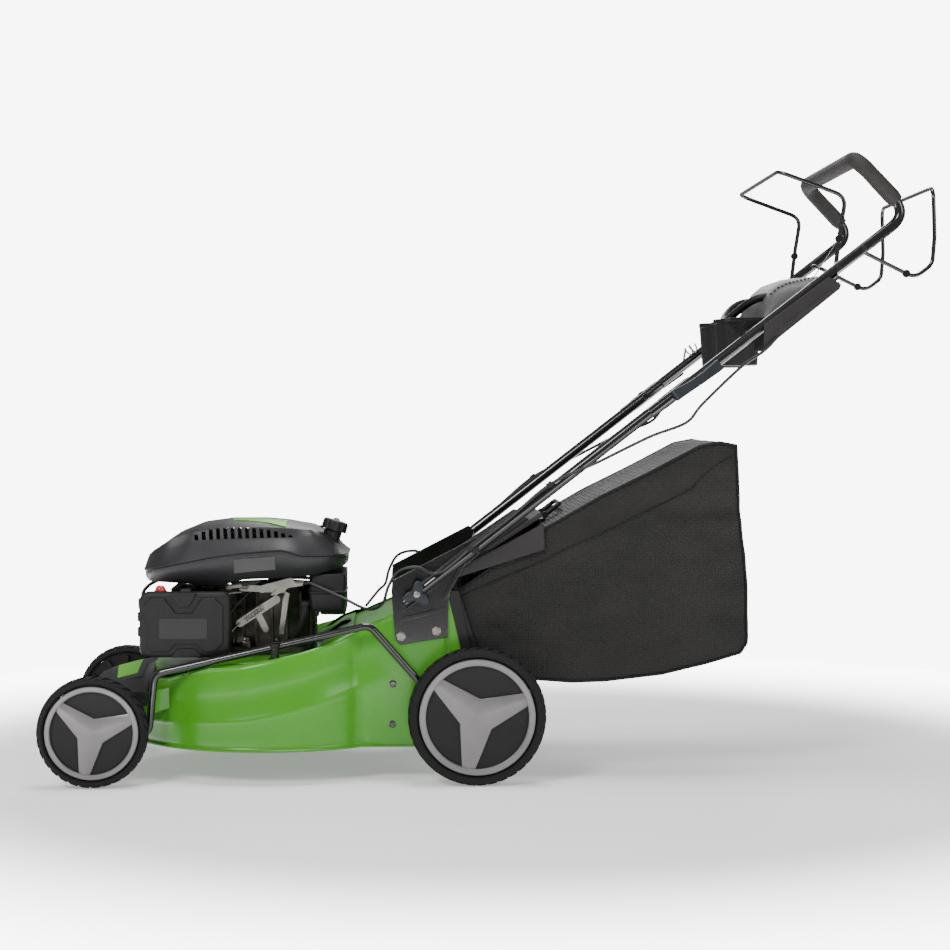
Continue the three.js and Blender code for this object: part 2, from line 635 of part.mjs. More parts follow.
for (const [word, side] of [['left', -1], ['right', 1]]) {
  const y = side * LOWER_TUBE_Y;
  const tube = bar([lowerEnd, y, handleZ(lowerEnd)], [lowerTop, y, handleZ(lowerTop)], TUBE_RADIUS, 12);
  add(`lower_handle_${word}`, cut(tube, holeAcross(KNOB_X, handleZ(KNOB_X)), holeAcross(CAM_X, handleZ(CAM_X)),
    holeAcross(FOLD_X, handleZ(FOLD_X))), 'black', 0.2, 0.3);
}

const upperKnots = bent([
  [upperEnd, -UPPER_TUBE_Y, handleZ(upperEnd)], [bendX, -UPPER_TUBE_Y, handleZ(bendX)],
  [loopTop[0], -UPPER_TUBE_Y, loopTop[1]], [loopTop[0], UPPER_TUBE_Y, loopTop[1]],
  [bendX, UPPER_TUBE_Y, handleZ(bendX)], [upperEnd, UPPER_TUBE_Y, handleZ(upperEnd)],
], 34, 4);

const OPC_PIVOT = [1365, handleZ(1365)];
const DRIVE_PIVOT = [1412, handleZ(1412)];
const foldStuds = [-1, 1].map((s) => bar(
  [CAM_X, s * 208, handleZ(CAM_X)], [CAM_X, s * UPPER_TUBE_Y, handleZ(CAM_X)], 3.8, 8));
add('upper_handle', cut(
  join(swept(upperKnots, TUBE_RADIUS, 8), ...foldStuds),
  holeAcross(...OPC_PIVOT, 4.4), holeAcross(...DRIVE_PIVOT, 4.4),
), 'black', 0.2, 0.3);

// Foam grip round the handle's loop, from bend to bend.
const gripStart = [1474, 1066];
const gripKnots = bent([
  [gripStart[0], -UPPER_TUBE_Y, gripStart[1]], [loopTop[0], -UPPER_TUBE_Y, loopTop[1]],
  [loopTop[0], UPPER_TUBE_Y, loopTop[1]], [gripStart[0], UPPER_TUBE_Y, gripStart[1]],
], 34, 4);
add('grip', cut(swept(gripKnots, GRIP_RADIUS, 10), swept(upperKnots, TUBE_RADIUS + GAP, 8)), 'foam', 0.9);

function bail(pivot, profile, legY) {
  const hookEnd = UPPER_TUBE_Y - 4;
  const leg = profile.map(([x, z]) => [x, z]);
  const left = leg.map(([x, z]) => [x, -legY, z]);
  const right = leg.map(([x, z]) => [x, legY, z]).reverse();
  const path = [[pivot[0], -hookEnd, pivot[1]], [pivot[0], -legY, pivot[1]], ...left, ...right,
    [pivot[0], legY, pivot[1]], [pivot[0], hookEnd, pivot[1]]];
  return swept(bent(path, 9, 2), BAIL_RADIUS, 8);
}

add('stop_bail', bail(OPC_PIVOT, [[1374, 1010], [1384, 1082], [1256, 1127]], 224), 'black', 0.4, 0.3);
add('drive_bail', bail(DRIVE_PIVOT, [[1512, 938], [1548, 968], [REAR_END - BAIL_RADIUS, 1106]], 212), 'black', 0.4, 0.3);

// Instrument cover across the handle, with side skirts that hide the tubes.
function consoleCover() {
  const skirt = outline([[1226, 796], [1366, 905], [1371, 922], alongHandle(1364, 14), alongHandle(1240, 14), [1226, 846]]);
  const skirts = [sidePlate(skirt, -262, -258), sidePlate(skirt, 258, 262)];
  const top = sidePlate(outline([
    alongHandle(1262, 11), alongHandle(1362, 11), alongHandle(1362, 16), alongHandle(1262, 16),
  ]), -262, 262);
  const domeShape = [
    alongHandle(1268, 12), alongHandle(1366, 12), alongHandle(1372, 26), alongHandle(1345, 44),
    alongHandle(1318, 50), alongHandle(1290, 44), alongHandle(1270, 22),
  ];
  const dome = sidePlate(outline(domeShape), -150, 150);
  const hollow = sidePlate(outline([
    alongHandle(1272, 0), alongHandle(1360, 0), alongHandle(1364, 24), alongHandle(1342, 40),
    alongHandle(1318, 45), alongHandle(1293, 40), alongHandle(1275, 21),
  ]), -146, 146);
  return cut(join(top, dome, ...skirts), hollow);
}

const CUP_X = 1203;
const CUP_TOP = 860;

function cupHolders() {
  const floor = CUP_TOP - 88;
  const tray = box(CUP_X - 30, CUP_X + 44, -200, 200, CUP_TOP - 6, CUP_TOP);
  const ears = [-1, 1].map((s) => box(CUP_X - 4, CUP_X + 36, Math.min(s * 200, s * 235.4), Math.max(s * 200, s * 235.4),
    CUP_TOP - 34, CUP_TOP - 24));
  const posts = [-1, 1].map((s) => box(CUP_X - 4, CUP_X + 36, s * 198 - 3, s * 198 + 3, CUP_TOP - 34, CUP_TOP));
  const cups = [-95, 95].map((y) => turnedUpright(
    [[0, -CUP_TOP], [46, -CUP_TOP], [46, -CUP_TOP + 4], [39, -floor], [0, -floor]], 16)
    .rotateX(Math.PI).translate(CUP_X, y, 0));
  const insides = [-95, 95].map((y) => turnedUpright(
    [[0, -CUP_TOP - 10], [43, -CUP_TOP - 10], [43, -CUP_TOP], [36, -floor - 3], [0, -floor - 3]], 16)
    .rotateX(Math.PI).translate(CUP_X, y, 0));
  return cut(join(tray, ...ears, ...posts, ...cups), ...insides);
}

add('console', consoleCover(), 'console', 0.5);
add('cup_holders', cupHolders(), 'plastic', 0.5);

// Quick release levers, square to the tubes' sides, each on the bolt through both tubes.
for (const [word, side] of [['left', -1], ['right', 1]]) {
  const outside = UPPER_TUBE_Y + TUBE_RADIUS + 8;
  const near = Math.min(side * outside, side * (outside + 14));
  const from = alongHandle(CAM_X, 0);
  const to = alongHandle(CAM_X + 82, -4);
  add(`cam_lever_${word}`, strap(from, to, 22, near, near + 14), 'slate', 0.45);
}

function starKnob(side) {
  const lobes = [80, 200, 320].map((degrees) => {
    const angle = degrees * Math.PI / 180;
    const start = side * (LOWER_TUBE_Y + TUBE_RADIUS + 1);
    const centre = [KNOB_X, handleZ(KNOB_X)];
    const tip = [centre[0] + 19 * Math.cos(angle), centre[1] + 19 * Math.sin(angle)];
    return strap(centre, tip, 15, Math.min(start, start + side * 9), Math.max(start, start + side * 9));
  });
  const stud = bar([KNOB_X, side * (BRACKET_Y + 4 + GAP), handleZ(KNOB_X)], [KNOB_X, side * 240, handleZ(KNOB_X)], 4, 8);
  return join(...lobes, stud);
}

for (const [word, side] of [['left', -1], ['right', 1]]) {
  add(`star_knob_${word}`, starKnob(side), 'slate', 0.5);
}

// ---------------------------------------------------------------- cables
const CABLE_RADIUS = 3;

function cableAlongHandle(side, tail) {
  const upperPart = [[1226, 268, 796], [1181, 270, 764], [1112, 272, 698], [1082, 271, 664], [1016, 265, 638],
    [924, 252, 592], [836, 241, 551]];
  const onTube = [760, 690, 630].map((x) => [x, LOWER_TUBE_Y + 14.5, handleZ(x) + 8]);
  const points = [...upperPart, ...onTube, ...tail].map(([x, y, z]) => [x, side * y, z]);
  return swept(smoothKnots(points, 24), CABLE_RADIUS, 8);
}

add('brake_cable', cableAlongHandle(-1, [
  [580, 236, 390], [546, 226, 374], [534, 215, 342], [524, 190, 318], [480, 160, 322], [430, 145, 345],
  [386, 138, 364],
]), 'black', 0.6);
add('drive_cable', cableAlongHandle(1, [
  [580, 236, 390], [546, 226, 374], [534, 215, 342], [526, 190, 322], [508, 150, 318], [492, 120, 296],
]), 'black', 0.6);

// ---------------------------------------------------------------- grass bag
const MOUTH_LEAN = Math.atan2(40, 155);

// A point in the mouth's plane: distance up the plane from its foot, and out from it to the rear.
function mouthPoint(up, out) {
  return [
    690 - up * Math.sin(MOUTH_LEAN) + out * Math.cos(MOUTH_LEAN),
    200 + up * Math.cos(MOUTH_LEAN) + out * Math.sin(MOUTH_LEAN),
  ];
}

function mouthSlab(up0, up1, out0, out1, half) {
  const corners = [mouthPoint(up0, out0), mouthPoint(up0, out1), mouthPoint(up1, out1), mouthPoint(up1, out0)];
  return sidePlate(outline(corners), -half, half);
}

const BAG_SIDE = [
  mouthPoint(-6, 8), [800, 184], [930, 180], [1040, 192], [1192, 236], [1200, 262], [1200, 360], [1188, 500],
  [1200, 622], [1140, 628], [1028, 574], [935, 529], [838, 474], mouthPoint(148, 8),
];

add('bag_frame', cut(
  mouthSlab(-6, 150, 2, 7, BAG_HALF - 8),
  mouthSlab(6, 138, 0, 10, BAG_HALF - 20),
), 'black', 0.5);
const bagInside = inset(BAG_SIDE, 4);
bagInside[0] = mouthPoint(6, 0);
bagInside[bagInside.length - 1] = mouthPoint(138, 0);
add('bag_body', cut(
  sidePlate(outline(BAG_SIDE), -BAG_HALF, BAG_HALF),
  sidePlate(outline(bagInside), 20 - BAG_HALF, BAG_HALF - 20),
), 'fabric', 0.95);
add('bag_handle', swept(bent([
  [838, -62, 486], [866, -62, 508], [866, 62, 508], [838, 62, 486],
], 12, 3), 5, 8), 'black', 0.6);

// The origin is the bottom centre of the bounding box.
const frontEnd = -FRONT_RADIUS;
mower.position.x = -(frontEnd + REAR_END) / 2;

export default mower;
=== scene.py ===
"""Looks of the push lawn mower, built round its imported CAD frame.

Lengths in the object's own sections are millimetres: X from the front axle towards the rear,
Y to the mower's right, Z up from the ground. at() turns them into the frame's metres.
"""
import math

import bmesh
import bpy
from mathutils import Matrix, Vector, noise


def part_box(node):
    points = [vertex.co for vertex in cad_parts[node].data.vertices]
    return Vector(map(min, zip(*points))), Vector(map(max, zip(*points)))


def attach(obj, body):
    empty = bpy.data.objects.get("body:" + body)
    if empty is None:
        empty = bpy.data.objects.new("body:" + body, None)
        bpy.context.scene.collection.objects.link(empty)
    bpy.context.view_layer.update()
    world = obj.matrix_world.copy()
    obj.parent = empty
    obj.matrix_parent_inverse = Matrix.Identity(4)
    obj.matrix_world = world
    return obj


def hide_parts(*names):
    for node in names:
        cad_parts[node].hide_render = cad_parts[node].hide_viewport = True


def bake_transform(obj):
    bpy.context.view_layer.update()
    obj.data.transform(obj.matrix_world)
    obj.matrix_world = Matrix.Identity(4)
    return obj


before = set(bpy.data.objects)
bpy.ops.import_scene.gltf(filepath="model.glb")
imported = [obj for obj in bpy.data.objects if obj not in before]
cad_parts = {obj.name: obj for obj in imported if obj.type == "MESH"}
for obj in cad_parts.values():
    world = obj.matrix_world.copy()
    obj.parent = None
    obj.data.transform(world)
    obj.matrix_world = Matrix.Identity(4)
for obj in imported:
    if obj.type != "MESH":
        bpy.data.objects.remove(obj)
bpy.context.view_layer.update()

# ------------------------------------------------------------------ places taken from the frame
MM = 0.001


def box_centre(node):
    low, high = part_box(node)
    return (Vector(low) + Vector(high)) / 2


FRONT_AXLE = box_centre("front_left_hub")
REAR_AXLE = box_centre("rear_left_hub")
HANDLE_SLOPE = 0.774
HANDLE_START = (723, 451)
TUBE_RADIUS = 10
SIDES = (("left", -1), ("right", 1))


def at(x, y, z):
    """A place in the object's millimetres as a place in the frame."""
    return Vector((FRONT_AXLE.x + x * MM, y * MM, z * MM))


def handle_z(x):
    """Height of the handle's line."""
    return HANDLE_START[1] + (x - HANDLE_START[0]) * HANDLE_SLOPE


def on_handle(x, y):
    """A place on the straight line that the handle's tubes follow."""
    return at(x, y, handle_z(x))


def along_handle(x, lift):
    """A place in X and Z, lifted square off the handle's line."""
    angle = math.atan(HANDLE_SLOPE)
    return (x - lift * math.sin(angle), handle_z(x) + lift * math.cos(angle))


# ------------------------------------------------------------------ mesh helpers
def round_edges(piece, width, least_angle):
    """Rounds the sharper edges of a piece. width is in mm."""
    rounding = piece.modifiers.new("rounding", "BEVEL")
    rounding.width = width * MM
    rounding.segments = 2
    rounding.limit_method = "ANGLE"
    rounding.angle_limit = math.radians(least_angle)


def thicken(piece, thickness, offset=-1):
    """Gives a sheet its thickness in mm: inwards for an offset of -1, both ways for 0."""
    wall = piece.modifiers.new("wall", "SOLIDIFY")
    wall.thickness = thickness * MM
    wall.offset = offset


def link_object(name, data):
    """Puts data into the scene as an object."""
    made = bpy.data.objects.new(name, data)
    bpy.context.scene.collection.objects.link(made)
    return made


def finish_mesh(name, bm, body, look, sharp=35, bevel=0.0, replaces=None):
    """Turns a bmesh into a named piece with its material, and treats its edges. It rides on body."""
    bmesh.ops.remove_doubles(bm, verts=bm.verts, dist=1e-6)
    bmesh.ops.recalc_face_normals(bm, faces=bm.faces)
    for face in bm.faces:
        face.smooth = True
    if bevel == 0:
        for edge in bm.edges:
            if len(edge.link_faces) == 2 and edge.calc_face_angle() > math.radians(sharp):
                edge.smooth = False
    mesh = bpy.data.meshes.new(name)
    bm.to_mesh(mesh)
    bm.free()
    piece = link_object(name, mesh)
    material, slot = look
    mesh.materials.append(material)
    if bevel:
        round_edges(piece, bevel, 28)
        piece.modifiers.new("normals", "WEIGHTED_NORMAL")
    if body:
        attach(piece, body)
    if replaces:
        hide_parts(replaces)
    return piece


def add_grid(bm, rings, closed=True, caps=True):
    """Joins rings of points into a surface. Closed rings meet themselves; caps fill both ends."""
    rows = [[bm.verts.new(point) for point in ring] for ring in rings]
    count = len(rows[0])
    last = count if closed else count - 1
    for here, ahead in zip(rows, rows[1:]):
        for i in range(last):
            k = (i + 1) % count
            bm.faces.new((here[i], here[k], ahead[k], ahead[i]))
    if caps and closed:
        bm.faces.new(rows[0][::-1])
        bm.faces.new(rows[-1])
    return rows


def add_tube(bm, points, radius, sides=16):
    """Sweeps a circle along points. radius is a number, or one number for each point (mm)."""
    radii = radius if isinstance(radius, (list, tuple)) else [radius] * len(points)
    tangents = []
    for i, point in enumerate(points):
        back = points[max(i - 1, 0)]
        ahead = points[min(i + 1, len(points) - 1)]
        tangents.append((ahead - back).normalized())
    side = tangents[0].orthogonal().normalized()
    rings = []
    for point, tangent, size in zip(points, tangents, radii):
        side = (side - tangent * side.dot(tangent)).normalized()
        other = tangent.cross(side)
        rings.append([
            point + (side * math.cos(a) + other * math.sin(a)) * size * MM
            for a in (2 * math.pi * k / sides for k in range(sides))])
    add_grid(bm, rings)


def add_turned(bm, centre, axis, profile, segments=48):
    """Turns a profile of (radius, height) in mm about an axis through centre. An open one gets caps."""
    axis = Vector(axis).normalized()
    side = axis.orthogonal().normalized()
    other = axis.cross(side)
    rings = []
    for radius, height in profile:
        rings.append([
            centre + axis * height * MM
            + (side * math.cos(a) + other * math.sin(a)) * max(radius, 0.01) * MM
            for a in (2 * math.pi * k / segments for k in range(segments))])
    add_grid(bm, rings, caps=profile[0] != profile[-1])


def head(foot, radius, rise, height):
    """Profile of a bolt head or boss: it widens from foot to radius over rise, and is flat on top."""
    return [(0, 0), (foot, 0), (radius, rise), (radius, height), (0, height)]


def drum(radius, chamfer, height, end_radius):
    """Profile of a short cylinder whose ends narrow to end_radius."""
    return [(0, 0), (end_radius, 0), (radius, chamfer), (radius, height - chamfer), (end_radius, height),
            (0, height)]


def add_plate(bm, points, y0, y1, side=1):
    """Outline in X and Z, made solid between two Y places. A side of -1 mirrors it to the left."""
    y0, y1 = sorted((side * y0, side * y1))
    front = [bm.verts.new(at(x, y0, z)) for x, z in points]
    back = [bm.verts.new(at(x, y1, z)) for x, z in points]
    bm.faces.new(front)
    bm.faces.new(back[::-1])
    for i in range(len(points)):
        k = (i + 1) % len(points)
        bm.faces.new((front[k], front[i], back[i], back[k]))


def add_block(bm, x0, x1, y0, y1, z0, z1, side=1):
    add_plate(bm, [(x0, z0), (x1, z0), (x1, z1), (x0, z1)], y0, y1, side)


def bend_path(points, radius, steps=6):
    """A polyline with its corners bent to a radius in mm."""
    corners = [at(*point) for point in points]
    path = [corners[0]]
    for before, corner, after in zip(corners, corners[1:], corners[2:]):
        back = (before - corner).normalized()
        ahead = (after - corner).normalized()
        half = back.angle(ahead) / 2
        reach = min(radius * MM / math.tan(half), (before - corner).length / 2, (after - corner).length / 2)
        for k in range(steps + 1):
            t = k / steps
            path.append(corner + back * reach * (1 - t) ** 2 + ahead * reach * t ** 2)
    path.append(corners[-1])
    return path


def curve_path(points, steps):
    """A smooth curve through points in mm, by Catmull-Rom segments."""
    knots = [at(*point) for point in points]
    knots = [knots[0] * 2 - knots[1], *knots, knots[-1] * 2 - knots[-2]]
    path = []
    for a, b, c, d in zip(knots, knots[1:], knots[2:], knots[3:]):
        for k in range(steps):
            t = k / steps
            path.append(0.5 * (2 * b + (c - a) * t + (2 * a - 5 * b + 4 * c - d) * t * t
                               + (3 * b - a - 3 * c + d) * t ** 3))
    path.append(knots[-2])
    return path


def rounded_rectangle(x0, x1, z0, z1, radius):
    """An outline with round corners."""
    corners = [(x1 - radius, z0 + radius, -90), (x1 - radius, z1 - radius, 0),
               (x0 + radius, z1 - radius, 90), (x0 + radius, z0 + radius, 180)]
    steps = 5
    points = []
    for cx, cz, start in corners:
        for k in range(steps + 1):
            angle = math.radians(start + 90 * k / steps)
            points.append((cx + radius * math.cos(angle), cz + radius * math.sin(angle)))
    return points


def inset_rectangle(rectangle, inset, radius):
    """A rounded rectangle drawn in from (low x, high x, low z, high z) on all sides."""
    x0, x1, z0, z1 = rectangle
    return rounded_rectangle(x0 + inset, x1 - inset, z0 + inset, z1 - inset, radius)


def strap_outline(start, end, width):
    """A flat bar with round ends between two points."""
    angle = math.atan2(end[1] - start[1], end[0] - start[0])
    steps = 8
    points = []
    for (x, z), turn in ((end, -90), (start, 90)):
        for k in range(steps + 1):
            a = angle + math.radians(turn + 180 * k / steps)
            points.append((x + width / 2 * math.cos(a), z + width / 2 * math.sin(a)))
    return points


def between(value, pairs):
    """Straight-line interpolation through (x, y) pairs, flat beyond both ends."""
    if value <= pairs[0][0]:
        return pairs[0][1]
    for (x0, y0), (x1, y1) in zip(pairs, pairs[1:]):
        if value <= x1:
            return y0 + (y1 - y0) * (value - x0) / (x1 - x0)
    return pairs[-1][1]


def ease(t):
    """A smooth step from 0 to 1."""
    t = min(max(t, 0.0), 1.0)
    return t * t * (3 - 2 * t)


# ------------------------------------------------------------------ materials
def linear(red, green, blue):
    """A colour in screen values of 0 to 255 as linear light."""
    def channel(value):
        value /= 255
        return value / 12.92 if value <= 0.04045 else ((value + 0.055) / 1.055) ** 2.4
    return (channel(red), channel(green), channel(blue), 1.0)


def set_inputs(node, **values):
    """Sets a node's inputs by name. An underscore stands for a space."""
    for name, value in values.items():
        node.inputs[name.replace("_", " ")].default_value = value
    return node


def material(name, colour, roughness, metallic=0.0, other=None, patch=25.0, bumps=(), coat=0.0,
             spread=0.08, specular=0.5):
    """A procedural finish: patchy colour and roughness, with layers of fine relief."""
    finish = bpy.data.materials.new(name)
    finish.use_nodes = True
    nodes, link = finish.node_tree.nodes, finish.node_tree.links.new
    shader = set_inputs(nodes["Principled BSDF"], Metallic=metallic, Coat_Weight=coat, Coat_Roughness=0.12,
                        Specular_IOR_Level=specular)
    place = nodes.new("ShaderNodeTexCoord").outputs["Object"]
    patches = set_inputs(nodes.new("ShaderNodeTexNoise"), Scale=patch, Detail=6)
    link(place, patches.inputs["Vector"])
    ramp = nodes.new("ShaderNodeValToRGB")
    first, second = ramp.color_ramp.elements
    first.position, second.position = 0.35, 0.65
    first.color = colour
    second.color = other or tuple(min(c * 1.18, 1) for c in colour[:3]) + (1,)
    link(patches.outputs["Fac"], ramp.inputs["Fac"])
    link(ramp.outputs["Color"], shader.inputs["Base Color"])
    rough = set_inputs(nodes.new("ShaderNodeMapRange"), To_Min=max(roughness - spread, 0.03),
                       To_Max=min(roughness + spread, 1))
    link(patches.outputs["Fac"], rough.inputs["Value"])
    link(rough.outputs["Result"], shader.inputs["Roughness"])
    socket = shader.inputs["Normal"]
    for kind, scale, strength in reversed(bumps):
        bump = set_inputs(nodes.new("ShaderNodeBump"), Strength=strength, Distance=0.001)
        link(relief(nodes, link, place, kind, scale), bump.inputs["Height"])
        link(bump.outputs["Normal"], socket)
        socket = bump.inputs["Normal"]
    return finish


def relief(nodes, link, place, kind, scale):
    """A height pattern: noise, cells, brushed lines or a woven grid."""
    if kind == "weave":
        grid = nodes.new("ShaderNodeMath")
        grid.operation = "MULTIPLY"
        for direction, socket in zip("XZ", grid.inputs):
            wave = set_inputs(nodes.new("ShaderNodeTexWave"), Scale=scale, Distortion=0.6, Detail=1)
            wave.wave_type = "BANDS"
            wave.bands_direction = direction
            link(place, wave.inputs["Vector"])
            link(wave.outputs["Fac"], socket)
        return grid.outputs["Value"]
    if kind == "cells":
        texture = set_inputs(nodes.new("ShaderNodeTexVoronoi"), Scale=scale)
        link(place, texture.inputs["Vector"])
        return texture.outputs["Distance"]
    texture = set_inputs(nodes.new("ShaderNodeTexNoise"), Scale=scale)
    if kind == "brushed":
        stretch = set_inputs(nodes.new("ShaderNodeMapping"), Scale=(1, 1, 40))
        link(place, stretch.inputs["Vector"])
        place = stretch.outputs["Vector"]
    else:
        set_inputs(texture, Detail=4)
    link(place, texture.inputs["Vector"])
    return texture.outputs["Fac"]


def make_look(slot, name, colour, roughness, other=None, **finish):
    """A piece's look: its material, from colours in screen values, and a slot name that is carried along
    unused.
    """
    return material(name, linear(*colour), roughness, other=other and linear(*other), **finish), slot


GRAIN = (("noise", 900, 0.12), ("noise", 60, 0.03))
PAINT_PEEL = (("noise", 220, 0.02),)

GREEN = make_look("deck_paint", "deck_green", (64, 138, 26), 0.3, other=(69, 148, 30), patch=6,
                  bumps=PAINT_PEEL, coat=0.15, spread=0.03, specular=0.35)
BLACK_PAINT = make_look("black_paint", "black_gloss_paint", (13, 12, 12), 0.2, other=(17, 16, 16), patch=12,
                        bumps=PAINT_PEEL, coat=0.5, spread=0.04)
# The cowl's own dark grey, raised a little as a painted sheen for the glossy band between its ridge and
# crease.
COWL_WITH_SHEEN = make_look("engine_plastic", "cowl_plastic_painted_sheen", (33, 32, 35), 0.4, other=(37, 36, 39), patch=9,
                 bumps=GRAIN, specular=0.35)
PLASTIC = make_look("engine_plastic", "black_plastic", (19, 18, 19), 0.5, other=(23, 22, 23), patch=14,
                    bumps=GRAIN, specular=0.3)
CONSOLE = make_look("console_plastic", "console_grey", (38, 36, 36), 0.5, other=(43, 41, 41), patch=12,
                    bumps=GRAIN, specular=0.3)
DOME = make_look("console_plastic", "console_dome_grey", (84, 83, 84), 0.42, other=(92, 91, 92), patch=12,
                 bumps=(("weave", 60, 0.2), *GRAIN), specular=0.35)
SLATE = make_look("slate_plastic", "slate_plastic", (26, 31, 36), 0.45, other=(30, 36, 42), patch=20,
                  bumps=GRAIN, specular=0.35)
TYRE = make_look("tyre_rubber", "tyre_rubber", (14, 13, 14), 0.78, other=(19, 18, 18), patch=18,
                 bumps=(("noise", 500, 0.25), ("noise", 70, 0.08)), specular=0.3)
WHEEL = make_look("wheel_plastic", "wheel_plastic", (19, 18, 19), 0.55, other=(24, 23, 24), patch=22,
                  bumps=GRAIN, specular=0.3)
SILVER = make_look("silver_trim", "silver_trim", (112, 109, 110), 0.36, other=(122, 119, 120), metallic=0.35,
                   patch=16, bumps=(("noise", 1400, 0.08),), coat=0.2)
STEEL = make_look("bright_steel", "zinc_steel", (122, 121, 116), 0.34, other=(140, 137, 129), metallic=1.0,
                  patch=60, bumps=(("brushed", 200, 0.12),))
DARK_STEEL = make_look("bright_steel", "dark_steel", (62, 60, 58), 0.5, other=(48, 45, 42), metallic=0.9,
                       patch=40, bumps=(("noise", 300, 0.2),))
ALLOY = make_look("cast_alloy", "cast_alloy", (66, 64, 58), 0.5, other=(84, 82, 74), metallic=0.75, patch=45,
                  bumps=(("noise", 400, 0.35), ("cells", 260, 0.1)))
CABLE = make_look("cable_sheath", "cable_sheath", (14, 13, 14), 0.42, other=(17, 16, 17), patch=30,
                  bumps=(("noise", 600, 0.06),))
BELT = make_look("belt_rubber", "belt_rubber", (16, 15, 15), 0.8, patch=40, bumps=(("noise", 600, 0.3),))
FABRIC = make_look("bag_fabric", "bag_fabric", (23, 22, 21), 0.7, other=(31, 30, 28), patch=10,
                   bumps=(("weave", 56, 0.8), ("noise", 18, 0.25)), specular=0.3)
TOP_FABRIC = make_look("bag_fabric", "bag_top_fabric", (27, 26, 25), 0.62, other=(33, 32, 31), patch=14,
                       bumps=(("weave", 70, 0.8),), specular=0.35)
TAPE = make_look("bag_fabric", "bag_tape", (13, 12, 12), 0.65, patch=40, bumps=(("weave", 320, 0.5),),
                 specular=0.35)
BAG_PLASTIC = make_look("bag_plastic", "bag_plastic", (20, 19, 19), 0.45, patch=20, bumps=GRAIN,
                        specular=0.35)
FOAM = make_look("foam_grip", "foam_grip", (40, 38, 37), 0.7, other=(48, 46, 45), patch=60,
                 bumps=(("cells", 900, 0.2), ("noise", 120, 0.1)), specular=0.4)
BULB = make_look("bulb_rubber", "bulb_rubber", (190, 36, 50), 0.32, patch=60, bumps=(("noise", 300, 0.05),),
                 coat=0.3)
ROPE = make_look("rope_fibre", "starter_rope", (26, 25, 24), 0.8, patch=80, bumps=(("cells", 900, 0.6),))
LIME = make_look("engine_plastic", "lime_print", (92, 172, 30), 0.4, patch=20, bumps=(("noise", 800, 0.04),))
LABEL = make_look("engine_plastic", "label_film", (58, 57, 57), 0.4, patch=20, bumps=(("noise", 800, 0.04),))

# ------------------------------------------------------------------ camera, light and floor
FLOOR_RADIUS = 1.9
GLOW_START = 0.95      # metres from the floor's middle
GLOW_LEAST = 0.35
WHITE_LEVEL = 8.0
SKY_LEVEL = 0.3


def floor_finish():
    """A pale floor that brightens towards its edge, so that it melts into the white surroundings."""
    pale = material("pale_floor", (0.86, 0.86, 0.86, 1), 0.9, other=(0.88, 0.88, 0.88, 1), patch=0.5)
    nodes, link = pale.node_tree.nodes, pale.node_tree.links.new
    distance = nodes.new("ShaderNodeVectorMath")
    distance.operation = "LENGTH"
    glow = set_inputs(nodes.new("ShaderNodeMapRange"), From_Min=GLOW_START, From_Max=FLOOR_RADIUS * 0.96,
                      To_Min=GLOW_LEAST, To_Max=WHITE_LEVEL)
    glow.interpolation_type = "SMOOTHSTEP"
    link(nodes.new("ShaderNodeTexCoord").outputs["Object"], distance.inputs[0])
    link(distance.outputs["Value"], glow.inputs["Value"])
    shader = set_inputs(nodes["Principled BSDF"], Emission_Color=(1, 1, 1, 1))
    link(glow.outputs["Result"], shader.inputs["Emission Strength"])
    return pale


def place_camera():
    """A long lens that looks at the mower's left side."""
    lens = bpy.data.cameras.new("camera")
    lens.lens = 81.6
    lens.sensor_width = 36
    lens.clip_end = 100
    camera = link_object("camera", lens)
    camera.location = (-0.1829, -4.1924, 0.6831)
    camera.rotation_euler = (math.radians(88.33), 0, math.radians(-2.10))
    bpy.context.scene.camera = camera


def light_studio():
    """Surroundings that look white but light softly, and four soft lamps: name, place, size and power."""
    world = bpy.data.worlds.new("studio")
    world.use_nodes = True
    nodes, link = world.node_tree.nodes, world.node_tree.links.new
    background = set_inputs(nodes["Background"], Color=(1, 1, 1, 1))
    level = set_inputs(nodes.new("ShaderNodeMapRange"), To_Min=SKY_LEVEL, To_Max=WHITE_LEVEL)
    link(nodes.new("ShaderNodeLightPath").outputs["Is Camera Ray"], level.inputs["Value"])
    link(level.outputs["Result"], background.inputs["Strength"])
    bpy.context.scene.world = world
    aim = Vector((0, 0, 0.4))
    lamps = (("key", (-2.0, -3.4, 3.0), 1.2, 118), ("fill", (2.8, -2.8, 2.0), 1.6, 44),
             ("back", (0.3, 3.4, 2.8), 2.0, 66), ("top", (0.0, -0.2, 4.0), 1.4, 86))
    for name, place, size, power in lamps:
        lamp = bpy.data.lights.new(name, "AREA")
        lamp.size = size
        lamp.energy = power
        holder = link_object(name, lamp)
        holder.location = place
        holder.rotation_euler = (aim - Vector(place)).to_track_quat("-Z", "Y").to_euler()


def lay_floor():
    """A pale disc under the mower."""
    bm = bmesh.new()
    bmesh.ops.create_circle(bm, cap_ends=True, radius=FLOOR_RADIUS, segments=96)
    disc = bpy.data.meshes.new("floor")
    bm.to_mesh(disc)
    bm.free()
    disc.materials.append(floor_finish())
    link_object("floor", disc)


# ------------------------------------------------------------------ wheels
HALF_WIDTH = 22.5
TREAD_DEPTH = 3.2
RIM_SHARE = 0.85          # of the wheel's radius, as are the two below
RING_OUTER = 0.835
RING_INNER = 0.742
HUB_RIBS = 12
ARM_TURNS = {-1: (20, 140, 260), 1: (40, 160, 280)}
ARM_WIDTHS = [(0, 0.265), (0.18, 0.232), (1, 0.094)]


